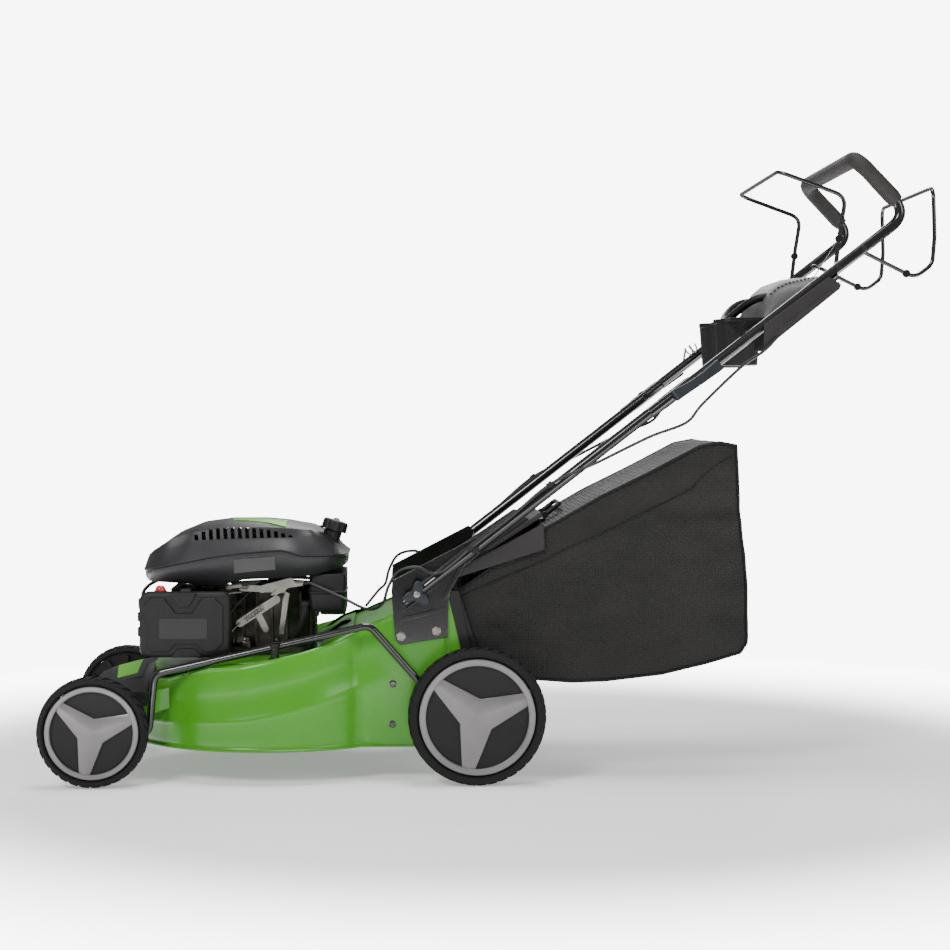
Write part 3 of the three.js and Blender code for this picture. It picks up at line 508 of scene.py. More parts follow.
def wheel(end, word, axle, radius):
    """One wheel on its own body: tyre, hub, silver trim and axle cap."""
    name = f"{end}_{word}"
    centre = Vector((axle.x, box_centre(f"{name}_tyre").y, axle.z))
    out = Vector((0, -1 if word == "left" else 1, 0))
    tyre(name, centre, out, radius)
    hub(name, centre, out, radius)
    trim(name, centre, out, radius)
    bm = bmesh.new()
    cap = [(3.5, HALF_WIDTH - 8.5), (9, HALF_WIDTH - 8.5), (9, HALF_WIDTH - 7), (7, HALF_WIDTH - 5.5),
           (3.5, HALF_WIDTH - 5.2)]
    add_turned(bm, centre, out, cap, segments=24)
    finish_mesh(f"{name}_axle_cap", bm, f"{name}_wheel", WHEEL, sharp=30)


def tyre(name, centre, out, radius):
    """Moulded carcass with two rows of slanted tread blocks."""
    half = HALF_WIDTH
    rim = radius * RIM_SHARE
    base = radius - TREAD_DEPTH

    def point(r, angle, height):
        return centre + out * height * MM + Vector((math.cos(angle), 0, math.sin(angle))) * r * MM

    bm = bmesh.new()
    add_turned(bm, centre, out, [
        (rim, -half + 6), (rim + 2, -half + 2), (base - 7, -half), (base - 2, -half + 3), (base, -half + 8),
        (base + 0.4, 0), (base, half - 8), (base - 2, half - 3), (base - 7, half), (rim + 3, half - 1.5),
        (rim, half - 6), (rim - 0.5, 0), (rim, -half + 6)], segments=96)
    blocks = int(radius * 0.30)
    steps = 3
    span = 2 * math.pi / blocks * 0.62
    for i in range(blocks):
        for row, lean in ((-1, 0.25), (1, -0.25)):
            start = 2 * math.pi * (i + (0.5 if row > 0 else 0)) / blocks
            inner, outer = row * 2.2, row * (half - 4.5)
            low, high = base - 1.5, radius - 0.1
            rings = []
            for k in range(steps + 1):
                a = start + span * k / steps
                near, far = a + lean * span, a - lean * span
                rings.append([point(low, near, inner), point(high, near, inner),
                              point(high - 2.0, far, outer), point(low, far, outer)])
            add_grid(bm, rings)
    finish_mesh(f"{name}_tyre_moulding", bm, f"{name}_wheel", TYRE, sharp=32, replaces=f"{name}_tyre")


def hub(name, centre, out, radius):
    """Dished hub with ribs on its inner side."""
    half = HALF_WIDTH
    rim = radius * RIM_SHARE - 0.6
    bm = bmesh.new()
    add_turned(bm, centre, out, [
        (7.6, -half), (17, -half), (19, -half + 8), (rim - 8, -half + 9), (rim, -half + 7),
        (rim, half - 6.2), (rim - 2.5, half - 4.5), (radius * RING_INNER, half - 5.5),
        (radius * 0.72, half - 8), (radius * 0.4, half - 9.5), (radius * 0.16, half - 8), (7.6, half - 8),
        (7.6, -half)], segments=96)
    section = [(-1, -half + 8), (1, -half + 8), (1, -half + 1.5), (-1, -half + 1.5)]
    for i in range(HUB_RIBS):
        angle = 2 * math.pi * i / HUB_RIBS
        along = Vector((math.cos(angle), 0, math.sin(angle)))
        across = Vector((-math.sin(angle), 0, math.cos(angle))) * 1.6 * MM
        add_grid(bm, [[centre + along * reach * MM + across * s + out * h * MM for s, h in section]
                      for reach in (20, rim - 6)])
    finish_mesh(f"{name}_hub_dish", bm, f"{name}_wheel", WHEEL, sharp=30, replaces=f"{name}_hub")


def trim(name, centre, out, radius):
    """A ring, and a star of three arms that narrow towards it, with a raised ridge on each arm."""
    base = HALF_WIDTH - 5.2
    face = HALF_WIDTH - 0.6
    outer, inner = radius * RING_OUTER, radius * RING_INNER
    bm = bmesh.new()
    add_turned(bm, centre, out, [
        (inner, base - 2), (outer, base - 2), (outer, face - 1.2), (outer - 1.5, face), (inner + 2, face),
        (inner, face - 1.6), (inner, base - 2)], segments=96)
    finish_mesh(f"{name}_trim_ring", bm, f"{name}_wheel", SILVER, sharp=28, replaces=f"{name}_trim")
    bm = bmesh.new()
    steps = 12
    for degrees in ARM_TURNS[int(out.y)]:
        turn = math.radians(degrees)
        along = Vector((math.cos(turn), 0, math.sin(turn)))
        across = Vector((-math.sin(turn), 0, math.cos(turn)))
        rings = []
        for k in range(steps + 1):
            t = k / steps
            spot = centre + along * radius * 0.755 * t * MM
            width = radius * between(t, ARM_WIDTHS)
            ridge = face - 0.2 - 1.8 * t
            section = [(-1, base), (-0.94, ridge - 2.4), (-0.82, ridge - 1.8), (0, ridge),
                       (0.82, ridge - 1.8), (0.94, ridge - 2.4), (1, base)]
            rings.append([spot + across * s * width * MM + out * h * MM for s, h in section])
        add_grid(bm, rings)
    finish_mesh(f"{name}_trim_star", bm, f"{name}_wheel", SILVER, sharp=18)


# ------------------------------------------------------------------ deck
DECK_CENTRE_X = 315
DECK_RADIUS = 265
REAR_HALF = 205
SKIRT_BOTTOM = 62
SHEET = 0.8
SHOULDER = [(40, 168), (119, 183), (165, 201), (284, 222), (375, 240), (430, 256), (560, 312), (650, 355)]
RIDGE = [(40, 108), (122, 112), (285, 124), (376, 146), (449, 170), (513, 192), (640, 232)]
DECK_TOP = [(40, 176), (60, 178), (119, 187), (210, 216), (402, 227), (445, 263), (560, 313), (650, 356)]


def deck_plan():
    """Stations round the deck's outline, each (x, y, outward x, outward y), nose in the middle."""
    steps, straight, rear = 64, 14, 650
    join = math.asin(REAR_HALF / DECK_RADIUS)
    meet = DECK_CENTRE_X + DECK_RADIUS * math.cos(join)
    stations = [(rear + (meet - rear) * k / straight, -REAR_HALF, 0, -1) for k in range(straight)]
    for k in range(steps + 1):
        angle = -join - (2 * math.pi - 2 * join) * k / steps
        out = (math.cos(angle), math.sin(angle))
        stations.append((DECK_CENTRE_X + DECK_RADIUS * out[0], DECK_RADIUS * out[1], *out))
    stations += [(meet + (rear - meet) * (k + 1) / straight, REAR_HALF, 0, 1) for k in range(straight)]
    return stations


def deck_levels(x):
    """Heights at one station: lip, ridge, shoulder and the edge of the top."""
    lip = between(x, [(0, SKIRT_BOTTOM), (588, SKIRT_BOTTOM), (648, 176), (690, 201)])
    shoulder = between(x, SHOULDER)
    ridge = max(min(between(x, RIDGE), shoulder - 16), lip + 10)
    return lip, ridge, shoulder, between(x, DECK_TOP)


def deck_skin():
    """The pressed skin over the shell: a rolled lip, a bulged wall with a step, and soft shoulders."""
    # Each layer is (outward offset, share of lip, ridge, shoulder and top height, extra height).
    layers = [
        (6.0, (1, 0, 0, 0), 0), (6.2, (1, 0, 0, 0), 2.5), (2.6, (1, 0, 0, 0), 4.5), (1.6, (1, 0, 0, 0), 9),
        (2.8, (0.6, 0.4, 0, 0), 0), (4.0, (0.2, 0.8, 0, 0), 0), (4.4, (0, 1, 0, 0), -5),
        (3.6, (0, 1, 0, 0), 0), (1.0, (0, 1, 0, 0), 5), (0.7, (0, 0.5, 0.5, 0), 0), (0.7, (0, 0, 1, 0), -7),
        (-1.2, (0, 0, 1, 0), -1.8), (-5, (0, 0, 1, 0), 1.2), (-12, (0, 0, 0.5, 0.5), 1.8),
        (-26, (0, 0, 0, 1), 1.6),
    ]
    stations = deck_plan()
    rings = []
    for offset, shares, extra in layers:
        ring = []
        for x, y, out_x, out_y in stations:
            levels = deck_levels(x)
            fade = 1 - ease((x - 470) / 70)
            reach = offset * fade + (0.25 if offset > 0 else offset) * (1 - fade)
            z = sum(share * level for share, level in zip(shares, levels)) + extra
            ring.append(at(x + out_x * reach, y + out_y * reach, max(z, levels[0])))
        rings.append(ring)
    bm = bmesh.new()
    add_grid(bm, rings, closed=False)
    thicken(finish_mesh("deck_pressed_skin", bm, "chassis", GREEN, sharp=60), SHEET, 0)


def deck_top():
    """Pressed panels on the deck's top: a ring round the engine and a ramp up to the discharge."""
    bm = bmesh.new()
    stations = 48
    rings = []
    for reach, lift, least in ((237, 1.2, 0), (230, 4.0, 203), (220, 5.4, 207.5), (150, 6.2, 209)):
        ring = []
        for k in range(stations):
            angle = 2 * math.pi * k / stations
            x = DECK_CENTRE_X + reach * math.cos(angle)
            x = min(x, 470)
            ring.append(at(x, reach * math.sin(angle), max(between(x, DECK_TOP) + lift, least)))
        rings.append(ring)
    add_grid(bm, rings, caps=False)
    thicken(finish_mesh("deck_top_pressing", bm, "chassis", GREEN, sharp=60), SHEET, 0)


def rivets_and_slots():
    """Eyelets and louvres in the deck's sides, and the shields at its rear corners."""
    bm = bmesh.new()
    for x, z in ((546, 179), (545, 104)):
        for _, side in SIDES:
            add_turned(bm, at(x, side * (REAR_HALF + 0.3), z), (0, side, 0),
                       [(0, 0), (7, 0), (7, 0.8), (4.6, 1.0), (4.2, 0.6), (0, 0.5)], segments=24)
    finish_mesh("deck_side_eyelets", bm, "chassis", BLACK_PAINT, sharp=30)
    bm = bmesh.new()
    shield = [(653, 352), (650, 336), (672, 243), (676, 200), (691, 200), (691, 240), (668, 352)]
    for _, side in SIDES:
        add_plate(bm, shield, 205.2, 206.6, side)
    finish_mesh("deck_rear_shields", bm, "chassis", PLASTIC, bevel=0.4)
    bm = bmesh.new()
    for _, side in SIDES:
        for i in range(8):
            x = 160 + 6.6 * i
            y = side * math.sqrt(262.5 ** 2 - (x - DECK_CENTRE_X) ** 2)
            add_turned(bm, at(x, y, between(x, SHOULDER) - 1.5), (x - DECK_CENTRE_X, y, 160),
                       [(0, 0), (2.1, 0), (2.1, 1.4), (1.5, 1.9), (0, 1.9)], segments=14)
    finish_mesh("deck_louvres", bm, "chassis", BLACK_PAINT, sharp=30)


# ------------------------------------------------------------------ front trim, link and axles
NOSE_TOP = [(-15, 180), (0, 187), (20, 192.5), (45, 199), (70, 205), (88, 207.5)]
NOSE = [(-19, 118), (-26, 138), (-27, 158), (-24, 171), *NOSE_TOP, (96, 202), (97.5, 190), (97.5, 160)]
NOSE_HALF = 211.5
NOSE_MIDDLE = 35


def nose_drop(y):
    """How far the nose panel falls away from its crown."""
    return 40 * (abs(y) / 211) ** 1.3


def front_trim():
    """Moulded nose panel between the front wheels, crowned across its width."""
    bm = bmesh.new()
    rings = []
    for k in range(41):
        y = NOSE_HALF * (-1 + k / 20)
        shrink = 1 - 0.10 * abs(y / NOSE_HALF) ** 4
        drop = nose_drop(y) / 90
        rings.append([at(NOSE_MIDDLE + (x - NOSE_MIDDLE) * shrink, y, z - drop * (z - NOSE[0][1]))
                      for x, z in NOSE])
    rows = add_grid(bm, rings, closed=False)
    bm.faces.new(rows[0])
    bm.faces.new(rows[-1])
    thicken(finish_mesh("front_nose_panel", bm, "chassis", PLASTIC, sharp=40, replaces="front_trim"), 3)
    for name, look, lift, x0, x1, half in (("front_nose_border", SLATE, 0.5, 2, 74, 128),
                                           ("front_nose_stripe", LIME, 1.1, 14, 62, 104)):
        bm = bmesh.new()
        rings = []
        for k in range(27):
            y = half * (-1 + k / 13)
            lean = 10 * (abs(y) / half)
            rows_x = (x0 + lean, (x0 + x1) / 2 + lean / 2, x1)
            top = [at(x, y, between(x, NOSE_TOP) - nose_drop(y) * 0.9 + lift) for x in rows_x]
            rings.append(top + [point - Vector((0, 0, 3 * MM)) for point in reversed(top)])
        add_grid(bm, rings)
        finish_mesh(name, bm, "chassis", look, sharp=30)


def link_tube():
    """Bent tube between the two axle cranks, with a sleeve at each pin."""
    pins = [(59, 89.5), (681, 184.1)]
    bm = bmesh.new()
    add_tube(bm, bend_path([
        (pins[0][0], -236, pins[0][1]), (98, -236, pins[0][1] + 2), (109, -236, 203), (330, -236, 252),
        (503, -236, 291), (597, -236, pins[1][1]), (pins[1][0], -236, pins[1][1])], 24, 8), 7, sides=20)
    for x, z in pins:
        add_turned(bm, at(x, -243, z), (0, 1, 0), head(7.6, 8, 1, 19.5), segments=24)
    finish_mesh("height_link_tube", bm, "height_link", BLACK_PAINT, sharp=40, replaces="height_link")


def wash_port():
    """Barbed hose nozzle on the deck's left shoulder."""
    bm = bmesh.new()
    profile = [(0, 0), (12, 0), (12.8, 2), (12.8, 8), (11, 10), (7.8, 12), (7.8, 18), (8.6, 19), (8.6, 22),
               (7.4, 23), (7.4, 30), (8.6, 31), (8.8, 37), (6, 37.4), (5.6, 28), (0, 28)]
    add_turned(bm, at(330, -246, 222), (0, -0.02, 1), profile, segments=32)
    finish_mesh("wash_port_nozzle", bm, "chassis", PLASTIC, sharp=30, replaces="wash_port")


# ------------------------------------------------------------------ engine
COWL_X = 266.5
COWL_HALF_LENGTH = 196
COWL_HALF_WIDTH = 149.5
COWL_TOP = [(70, 402.5), (96, 429.5), (133, 454.5), (179, 470.6), (234, 477.6), (299, 477.6), (345, 473.5),
            (391, 465.5), (409, 456), (430, 448), (463, 431)]
COWL_RIDGE = [(70, 400), (81, 407), (120, 427), (168, 440.5), (233, 443.5), (305, 445), (359, 446.5),
              (391, 452), (409, 449), (431, 443), (463, 428)]
COWL_CREASE = [(70, 384), (88, 389), (144, 401), (211, 414), (278, 422), (341, 425.5), (372, 415), (463, 414)]
COWL_BOTTOM = [(70, 376), (84, 365), (157, 362.5), (198, 356), (214, 356), (238, 368), (323, 371.5),
               (390, 375.5), (453, 390), (463, 397)]
# How far the cowl has risen from its ridge line to its crown, by the share of the way in.
COWL_RISE = [(0.14, 0.0), (0.2, 0.66), (0.34, 0.86), (0.5, 0.95), (0.75, 1.0), (1.0, 1.0)]
CREASE_SHARE = 0.14
COWL_TURNS = 144
COWL_SHARES = (0.03, 0.07, 0.132, 0.143, 0.17, 0.197, 0.21, 0.27, 0.34, 0.42, 0.5, 0.6, 0.7, 0.8, 0.9, 0.98)
VENT_TOPS = [(174, 451), (185, 457), (212, 464), (276, 466), (321, 460), (353, 451)]
VENTS = 14
VENT_PITCH = 13.6


def cowl_plan(turn):
    """A point on the cowl's outline at full width, as (x, y), for a turn of 0 to 1."""
    angle = 2 * math.pi * turn
    power = 0.42    # the lower, the squarer the corners
    c, s = math.cos(angle), math.sin(angle)
    return (COWL_X + COWL_HALF_LENGTH * math.copysign(abs(c) ** power, c),
            COWL_HALF_WIDTH * math.copysign(abs(s) ** power, s))


def cowl_height(x, share):
    """Height of the cowl above its upper ridge line, by the share of the way in to the crown."""
    ridge = between(x, COWL_RIDGE)
    return ridge + (max(between(x, COWL_TOP), ridge) - ridge) * between(share, COWL_RISE)


def cowl_surface():
    """The shroud: an upright skirt under an overhanging crease, a sloped band, a vent band and a crown."""
    outline = [cowl_plan(k / COWL_TURNS) for k in range(COWL_TURNS)]
    rings = []
    # The skirt's layers are (share of the way in, share of the skirt's height, extra height).
    for inward, part, lift in ((0.014, 0.0, 0), (0.014, 1.0, -3.5), (0.0, 1.0, -1.5), (0.0, 1.0, 0.5)):
        ring = []
        for x, y in outline:
            low, crease = between(x, COWL_BOTTOM), between(x, COWL_CREASE)
            z = low + (crease - low) * part + lift
            ring.append(at(COWL_X + (x - COWL_X) * (1 - inward), y * (1 - inward), z))
        rings.append(ring)
    for share in COWL_SHARES:
        ring = []
        for x, y in outline:
            inward = share * (0.25 + 0.75 * ease((x - 70) / 70)) if share < 0.2 else share
            px = COWL_X + (x - COWL_X) * (1 - inward)
            z = cowl_height(px, share)
            if share < CREASE_SHARE:
                crease = between(x, COWL_CREASE)
                z = crease + (between(px, COWL_RIDGE) - crease) * (share / CREASE_SHARE) ** 0.9
            ring.append(at(px, y * (1 - inward), z))
        rings.append(ring)
    bm = bmesh.new()
    rows = add_grid(bm, rings, caps=False)
    bm.faces.new(rows[-1])
    return bm


def cutter(name, build):
    """A bare mesh to cut with. build adds its shapes."""
    bm = bmesh.new()
    build(bm)
    bmesh.ops.recalc_face_normals(bm, faces=bm.faces)
    mesh = bpy.data.meshes.new(name)
    bm.to_mesh(mesh)
    bm.free()
    return link_object(name, mesh)


def cut_and_apply(piece, tool):
    """Cuts a tool out of a piece, keeps the result as the piece's mesh and drops the tool."""
    boolean = piece.modifiers.new("cut", "BOOLEAN")
    boolean.operation = "DIFFERENCE"
    boolean.solver = "EXACT"
    boolean.object = tool
    shape = bpy.data.meshes.new_from_object(piece.evaluated_get(bpy.context.evaluated_depsgraph_get()))
    piece.modifiers.clear()
    piece.data = shape
    bpy.data.objects.remove(tool)


def fan_cowl():
    """The cowl, with its vents and filler hole cut through its wall, over a dark inner screen."""
    cowl = finish_mesh("cowl_shroud", cowl_surface(), "chassis", COWL_WITH_SHEEN, sharp=17, replaces="fan_cowl")
    thicken(cowl, 3)

    def vent_slots(bm):
        for _, side in SIDES:
            for i in range(VENTS):
                x = 176 + VENT_PITCH * i
                low = between(x, COWL_RIDGE) + 1
                high = between(x, VENT_TOPS)
                corners = [(x - 3.0, low), (x + 4.6, low), (x + 2.6, high), (x - 4.4, high)]
                add_plate(bm, corners, 92, 170, side)

    def filler_hole(bm):
        add_tube(bm, [at(418, -60, 412), at(436, -60, 470)], 20, sides=32)

    cut_and_apply(cowl, cutter("vent_cutter", vent_slots))
    cut_and_apply(cowl, cutter("filler_cutter", filler_hole))
    bm = bmesh.new()
    add_plate(bm, [(170, 425), (362, 430), (358, 454), (176, 452)], -104, 104)
    finish_mesh("cowl_inner_screen", bm, "chassis", PLASTIC, bevel=1)
    cowl_marks()


def cowl_marks():
    """A lime stripe on the crown and a blank plate on the left side."""
    bm = bmesh.new()
    rings = []
    for k in range(14):
        x = 240 + 8 * k
        width = 22 + 4 * k
        spots = [-40 - width * j / 6 for j in range(7)]
        top = [at(x, y, cowl_height(x, 1 - abs(y) / COWL_HALF_WIDTH) + 1.6) for y in spots]
        rings.append(top + [point - Vector((0, 0, 3 * MM)) for point in reversed(top)])
    add_grid(bm, rings)
    finish_mesh("cowl_stripe", bm, "chassis", LIME, sharp=30)
    bm = bmesh.new()
    add_plate(bm, [(248, 381), (326, 388), (325, 413), (247, 407)], -149.4, -147)
    finish_mesh("cowl_blank_plate", bm, "chassis", LABEL, bevel=0.4)


def fuel_cap():
    """Fluted cap that leans back on the filler neck, with a grip bar across its top."""
    lean = math.radians(17)
    axis = Vector((math.sin(lean), 0, math.cos(lean)))
    foot = at(430, -60, 450) + axis * 8 * MM
    side = Vector((0, 1, 0))
    other = axis.cross(side)
    radius, flutes, flute_depth = 25, 12, 1.8
    bm = bmesh.new()
    rings = []
    for height, shrink, depth in ((0, 1.0, 0), (1.5, 0, 0), (3, 0, 1), (14, 0, 1), (17, 1, 0.6), (19, 4, 0)):
        ring = []
        for k in range(144):
            a = 2 * math.pi * k / 144
            r = radius - shrink - flute_depth * depth * (0.5 + 0.5 * math.cos(flutes * a))
            ring.append(foot + axis * height * MM + (side * math.cos(a) + other * math.sin(a)) * r * MM)
        rings.append(ring)
    add_grid(bm, rings)
    bar = [(-20, -3.4), (20, -3.4), (20, 3.4), (-20, 3.4)]
    rows = [[foot + axis * height * MM + side * s * scale * MM + other * w * scale * MM for s, w in bar]
            for height, scale in ((15, 1.0), (18.9, 0.92))]
    add_grid(bm, rows)
    finish_mesh("fuel_cap_fluted", bm, "fuel_cap", PLASTIC, sharp=30, replaces="fuel_cap")


def fuel_tank():
    """Moulded tank under the cowl's rear left corner, with a seam flange and a hose barb."""
    bm = bmesh.new()
    rings = []
    for z, inset in ((306, 9), (309, 4), (316, 1), (340, 0), (342, -2.4), (345, -2.4), (347, 0), (374, 0),
                     (378, 2)):
        rings.append([at(x, y, z) for x, y in inset_rectangle((388, 457, -134, -16), inset, 10)])
    add_grid(bm, rings)
    barb = [(0, 0), (4.4, 0), (5.4, 2), (4.4, 4), (6.4, 6), (6.4, 10), (0, 10)]
    add_turned(bm, at(402, -122, 298), (0, 0, 1), barb, segments=20)
    finish_mesh("fuel_tank_shell", bm, "chassis", PLASTIC, sharp=35)


STARTER_Y = 62


def starter():
    """T-shaped pull on the recoil rope."""
    bm = bmesh.new()
    path, radii = [], []
    for k in range(17):
        t = -1 + 2 * k / 16
        path.append(at(433, STARTER_Y + 33.5 * t, 466))
        finger_grooves = 0.7 * math.cos(4 * math.pi * t) * (abs(t) < 0.8)
        radii.append(7.9 * (1 - 0.3 * t ** 6) - finger_grooves)
    add_tube(bm, path, radii, sides=24)
    neck = [at(x, STARTER_Y, z) for x, z in ((412, 458), (420, 461), (433, 466))]
    add_tube(bm, neck, [6.9, 5.6, 7.4], sides=20)
    finish_mesh("starter_pull", bm, "starter", PLASTIC, sharp=40, replaces="starter_grip")
    bm = bmesh.new()
    add_tube(bm, [at(192 + 217 * k / 40, STARTER_Y, 458) for k in range(41)], 2.5, sides=10)
    finish_mesh("starter_cord", bm, "starter", ROPE, sharp=60, replaces="starter_rope")


def filter_cover():
    """Snap-on cover: a rounded tray, a raised panel notched above and below, a blank plate and clips."""
    bm = bmesh.new()
    rings = []
    for inset, y in ((0, -172.4), (0, -196), (1.4, -199.6), (4.6, -201.6), (9, -202.2)):
        outline = inset_rectangle((77, 245, 229, 350), inset, max(16 - inset, 6))
        rings.append([at(x, y, z) for x, z in outline])
    rows = add_grid(bm, rings, caps=False)
    bm.faces.new(rows[-1])
    thicken(finish_mesh("filter_cover_shell", bm, "filter_cover", PLASTIC, sharp=50,
                        replaces="air_filter_cover"), 2.6)
    panel = [(99, 240), (130, 240), (144.5, 254), (184, 254), (198, 240), (216, 240), (232, 256), (232, 325),
             (216, 340), (194, 340), (173.5, 311), (144.7, 311), (123, 340), (99, 340), (86, 326), (86, 254)]
    bm = bmesh.new()
    add_plate(bm, panel, -206, -201)
    add_plate(bm, [(134, 229.5), (148, 246), (181, 246), (194, 229.5)], -205, -190)
    add_plate(bm, [(133, 349.5), (150, 323), (169, 323), (184, 349.5)], -205, -190)
    finish_mesh("filter_cover_panel", bm, "filter_cover", PLASTIC, bevel=1.8)
    bm = bmesh.new()
    add_plate(bm, rounded_rectangle(114, 203, 264, 302, 4), -206.8, -205)
    finish_mesh("filter_cover_plate", bm, "filter_cover", CABLE, bevel=0.5)
    bm = bmesh.new()
    for z in (268, 296):
        add_plate(bm, rounded_rectangle(74, 86, z, z + 18, 3), -200, -186)
    add_plate(bm, rounded_rectangle(152, 172, 342, 356, 3), -200, -176)
    finish_mesh("filter_cover_clips", bm, "filter_cover", PLASTIC, bevel=1)


def primer():
    """Soft red bulb on top of the air filter's box."""
    bm = bmesh.new()
    dome = [(0, 0.2), (11, 0.2), (11, 2), (9.6, 2.6), (9.2, 5), (8.2, 7.6), (6.2, 9.6), (3.4, 10.7), (0, 11)]
    add_turned(bm, at(111, -150, 348.4), (0, 0, 1), dome, segments=40)
    finish_mesh("primer_bulb_dome", bm, "primer_bulb", BULB, sharp=40, replaces="primer_bulb")


def carburettor():
    """Cast body with flanges, a float bowl, choke plate and jets."""
    bm = bmesh.new()
    add_block(bm, 178, 222, -114, -74, 300, 336)
    add_block(bm, 222, 227, -118, -70, 293, 338)
    add_turned(bm, at(200, -94, 292.5), (0, 0, 1), [
        (0, 0), (5, 0), (5, 2), (15, 2.4), (17, 5), (17.5, 12), (19, 12.4), (19, 15), (0, 15)], segments=36)
    add_turned(bm, at(176.5, -94, 318), (1, 0, 0), [(0, 0), (13, 0), (15, 2), (15, 8), (0, 8)], segments=36)
    finish_mesh("carburettor_casting", bm, "chassis", ALLOY, bevel=0.9, replaces="carburettor")
    bm = bmesh.new()
    for x, z in ((184, 330), (214, 330), (184, 305), (214, 305)):
        add_turned(bm, at(x, -118.6, z), (0, 1, 0), head(3.4, 3.8, 0.8, 4.6), segments=16)
    add_turned(bm, at(200, -121, 318), (0, 1, 0), head(4.4, 5, 0.8, 7.2), segments=16)
    finish_mesh("carburettor_screws", bm, "chassis", STEEL, sharp=30)
    bm = bmesh.new()
    route = [(222, -110, 304), (236, -106, 302), (250, -99, 318), (292, -93, 356), (350, -90, 368),
             (410, -90, 366)]
    add_tube(bm, curve_path(route, 8), 3.2, sides=12)
    finish_mesh("fuel_hose", bm, "chassis", CABLE, sharp=60)


def helix(start, end, radius, turns):
    """Places along a coil spring between two points in mm."""
    a, b = at(*start), at(*end)
    axis = (b - a).normalized()
    side = axis.orthogonal().normalized()
    other = axis.cross(side)
    steps = 14
    total = turns * steps
    path = []
    for k in range(total + 1):
        angle = 2 * math.pi * k / steps
        away = side * math.cos(angle) + other * math.sin(angle)
        path.append(a + (b - a) * (k / total) + away * radius * MM)
    return path


def linkages():
    """Springs, rods and levers between the governor, the carburettor and the engine brake."""
    bm = bmesh.new()
    add_tube(bm, helix((238, -136, 356), (274, -136, 354), 3.4, 14), 0.8, sides=6)
    add_tube(bm, [at(212, -130, 357), at(238, -136, 356)], 0.9, sides=8)
    add_tube(bm, helix((268, -134, 292), (302, -134, 316), 3.8, 9), 0.9, sides=6)
    add_tube(bm, curve_path([(214, -126, 330), (236, -134, 341), (262, -134, 345)], 8), 1.1, sides=8)
    add_tube(bm, curve_path([(258, -133, 286), (244, -136, 272), (240, -136, 262)], 8), 1.4, sides=8)
    finish_mesh("governor_springs", bm, "chassis", STEEL, sharp=60)
    bm = bmesh.new()
    add_plate(bm, [(330, 264), (340, 264), (351, 341), (343, 345), (338, 330)], -124, -122)
    add_plate(bm, [(314, 338), (326, 338), (350, 352), (376, 356), (378, 364), (340, 364)], -132, -124)
    add_plate(bm, [(232, 350), (262, 354), (262, 360), (232, 357)], -140, -124)
    finish_mesh("control_bracket", bm, "chassis", STEEL, bevel=0.6)
    bm = bmesh.new()
    for x, y, z in ((240, -139.5, 354), (336, -123.5, 272)):
        add_turned(bm, at(x, y, z), (0, -1, 0), head(4, 4.6, 0.8, 3.4), segments=6)
    finish_mesh("control_bracket_screws", bm, "chassis", STEEL, sharp=25)


def engine_block():
    """Cooling fins round the barrel, bolts round the sump, ribs on the crankcase, and the dipstick's filler
    neck and cap.
    """
    bm = bmesh.new()
    for i in range(9):
        z = 250 + 11 * i
        add_plate(bm, rounded_rectangle(122, 214, z, z + 4.2, 1.5), -66, 66)
    finish_mesh("cylinder_fins", bm, "chassis", ALLOY, bevel=0.6)
    bm = bmesh.new()
    for k in range(8):
        angle = 2 * math.pi * k / 8 + 0.3
        add_turned(bm, at(302 + 74 * math.cos(angle), 84 * math.sin(angle), 236), (0, 0, 1),
                   [(0, 0), (9, 0), (9, 10), (6.5, 12), (6.5, 17), (0, 17)], segments=20)
    finish_mesh("sump_bolts", bm, "chassis", STEEL, sharp=30)
    bm = bmesh.new()
    neck = [(352, -92, 250), (368, -112, 268), (378, -122, 300), (380, -124, 318)]
    add_tube(bm, curve_path(neck, 8), 8, sides=20)
    add_turned(bm, at(380, -124, 318), (0, 0, 1), [(0, 0), (11, 0), (11, 8), (8, 10), (0, 10)], segments=28)
    finish_mesh("oil_filler", bm, "chassis", PLASTIC, sharp=30)
    bm = bmesh.new()
    ribs = 7
    for i in range(ribs):
        angle = math.radians(-150 + 20 * i)
        x, y = 315 + 84 * math.cos(angle), 84 * math.sin(angle)
        add_tube(bm, [at(x, y, 236), at(x, y, 340)], 4, sides=12)
    finish_mesh("crankcase_ribs", bm, "chassis", ALLOY, sharp=40)


def muffler():
    """Pressed can with five slots."""
    bm = bmesh.new()
    rings = []
    for inset, y in ((10, 84.5), (2, 88), (0, 94), (0, 130), (3, 137), (12, 140)):
        rings.append([at(x, y, z) for x, z in inset_rectangle((110, 230, 262, 340), inset, 16)])
    add_grid(bm, rings)
    for i in range(5):
        x = 128 + 18 * i
        add_plate(bm, rounded_rectangle(x, x + 8, 276, 326, 3.5), 138, 141.5)
    finish_mesh("muffler_can", bm, "chassis", DARK_STEEL, sharp=40, replaces="muffler")


def spark_plug():
    """Plug with its hexagon, under a rubber boot on its lead."""
    bm = bmesh.new()
    add_tube(bm, [at(72, 0, 300), at(118, 0, 300)], [5.5, 6.5], sides=20)
    add_turned(bm, at(92, 0, 300), (1, 0, 0), [(0, 0), (11, 0), (11, 8), (0, 8)], segments=6)
    finish_mesh("spark_plug_body", bm, "chassis", STEEL, sharp=30, replaces="spark_plug")
    bm = bmesh.new()
    add_tube(bm, bend_path([(86, 0, 300), (60, 0, 300), (60, 0, 322)], 8), 8.4, sides=20)
    add_tube(bm, curve_path([(60, 0, 318), (62, 8, 336), (80, 20, 352), (120, 30, 366)], 8), 3.4, sides=12)
    finish_mesh("spark_plug_boot", bm, "chassis", CABLE, sharp=40)


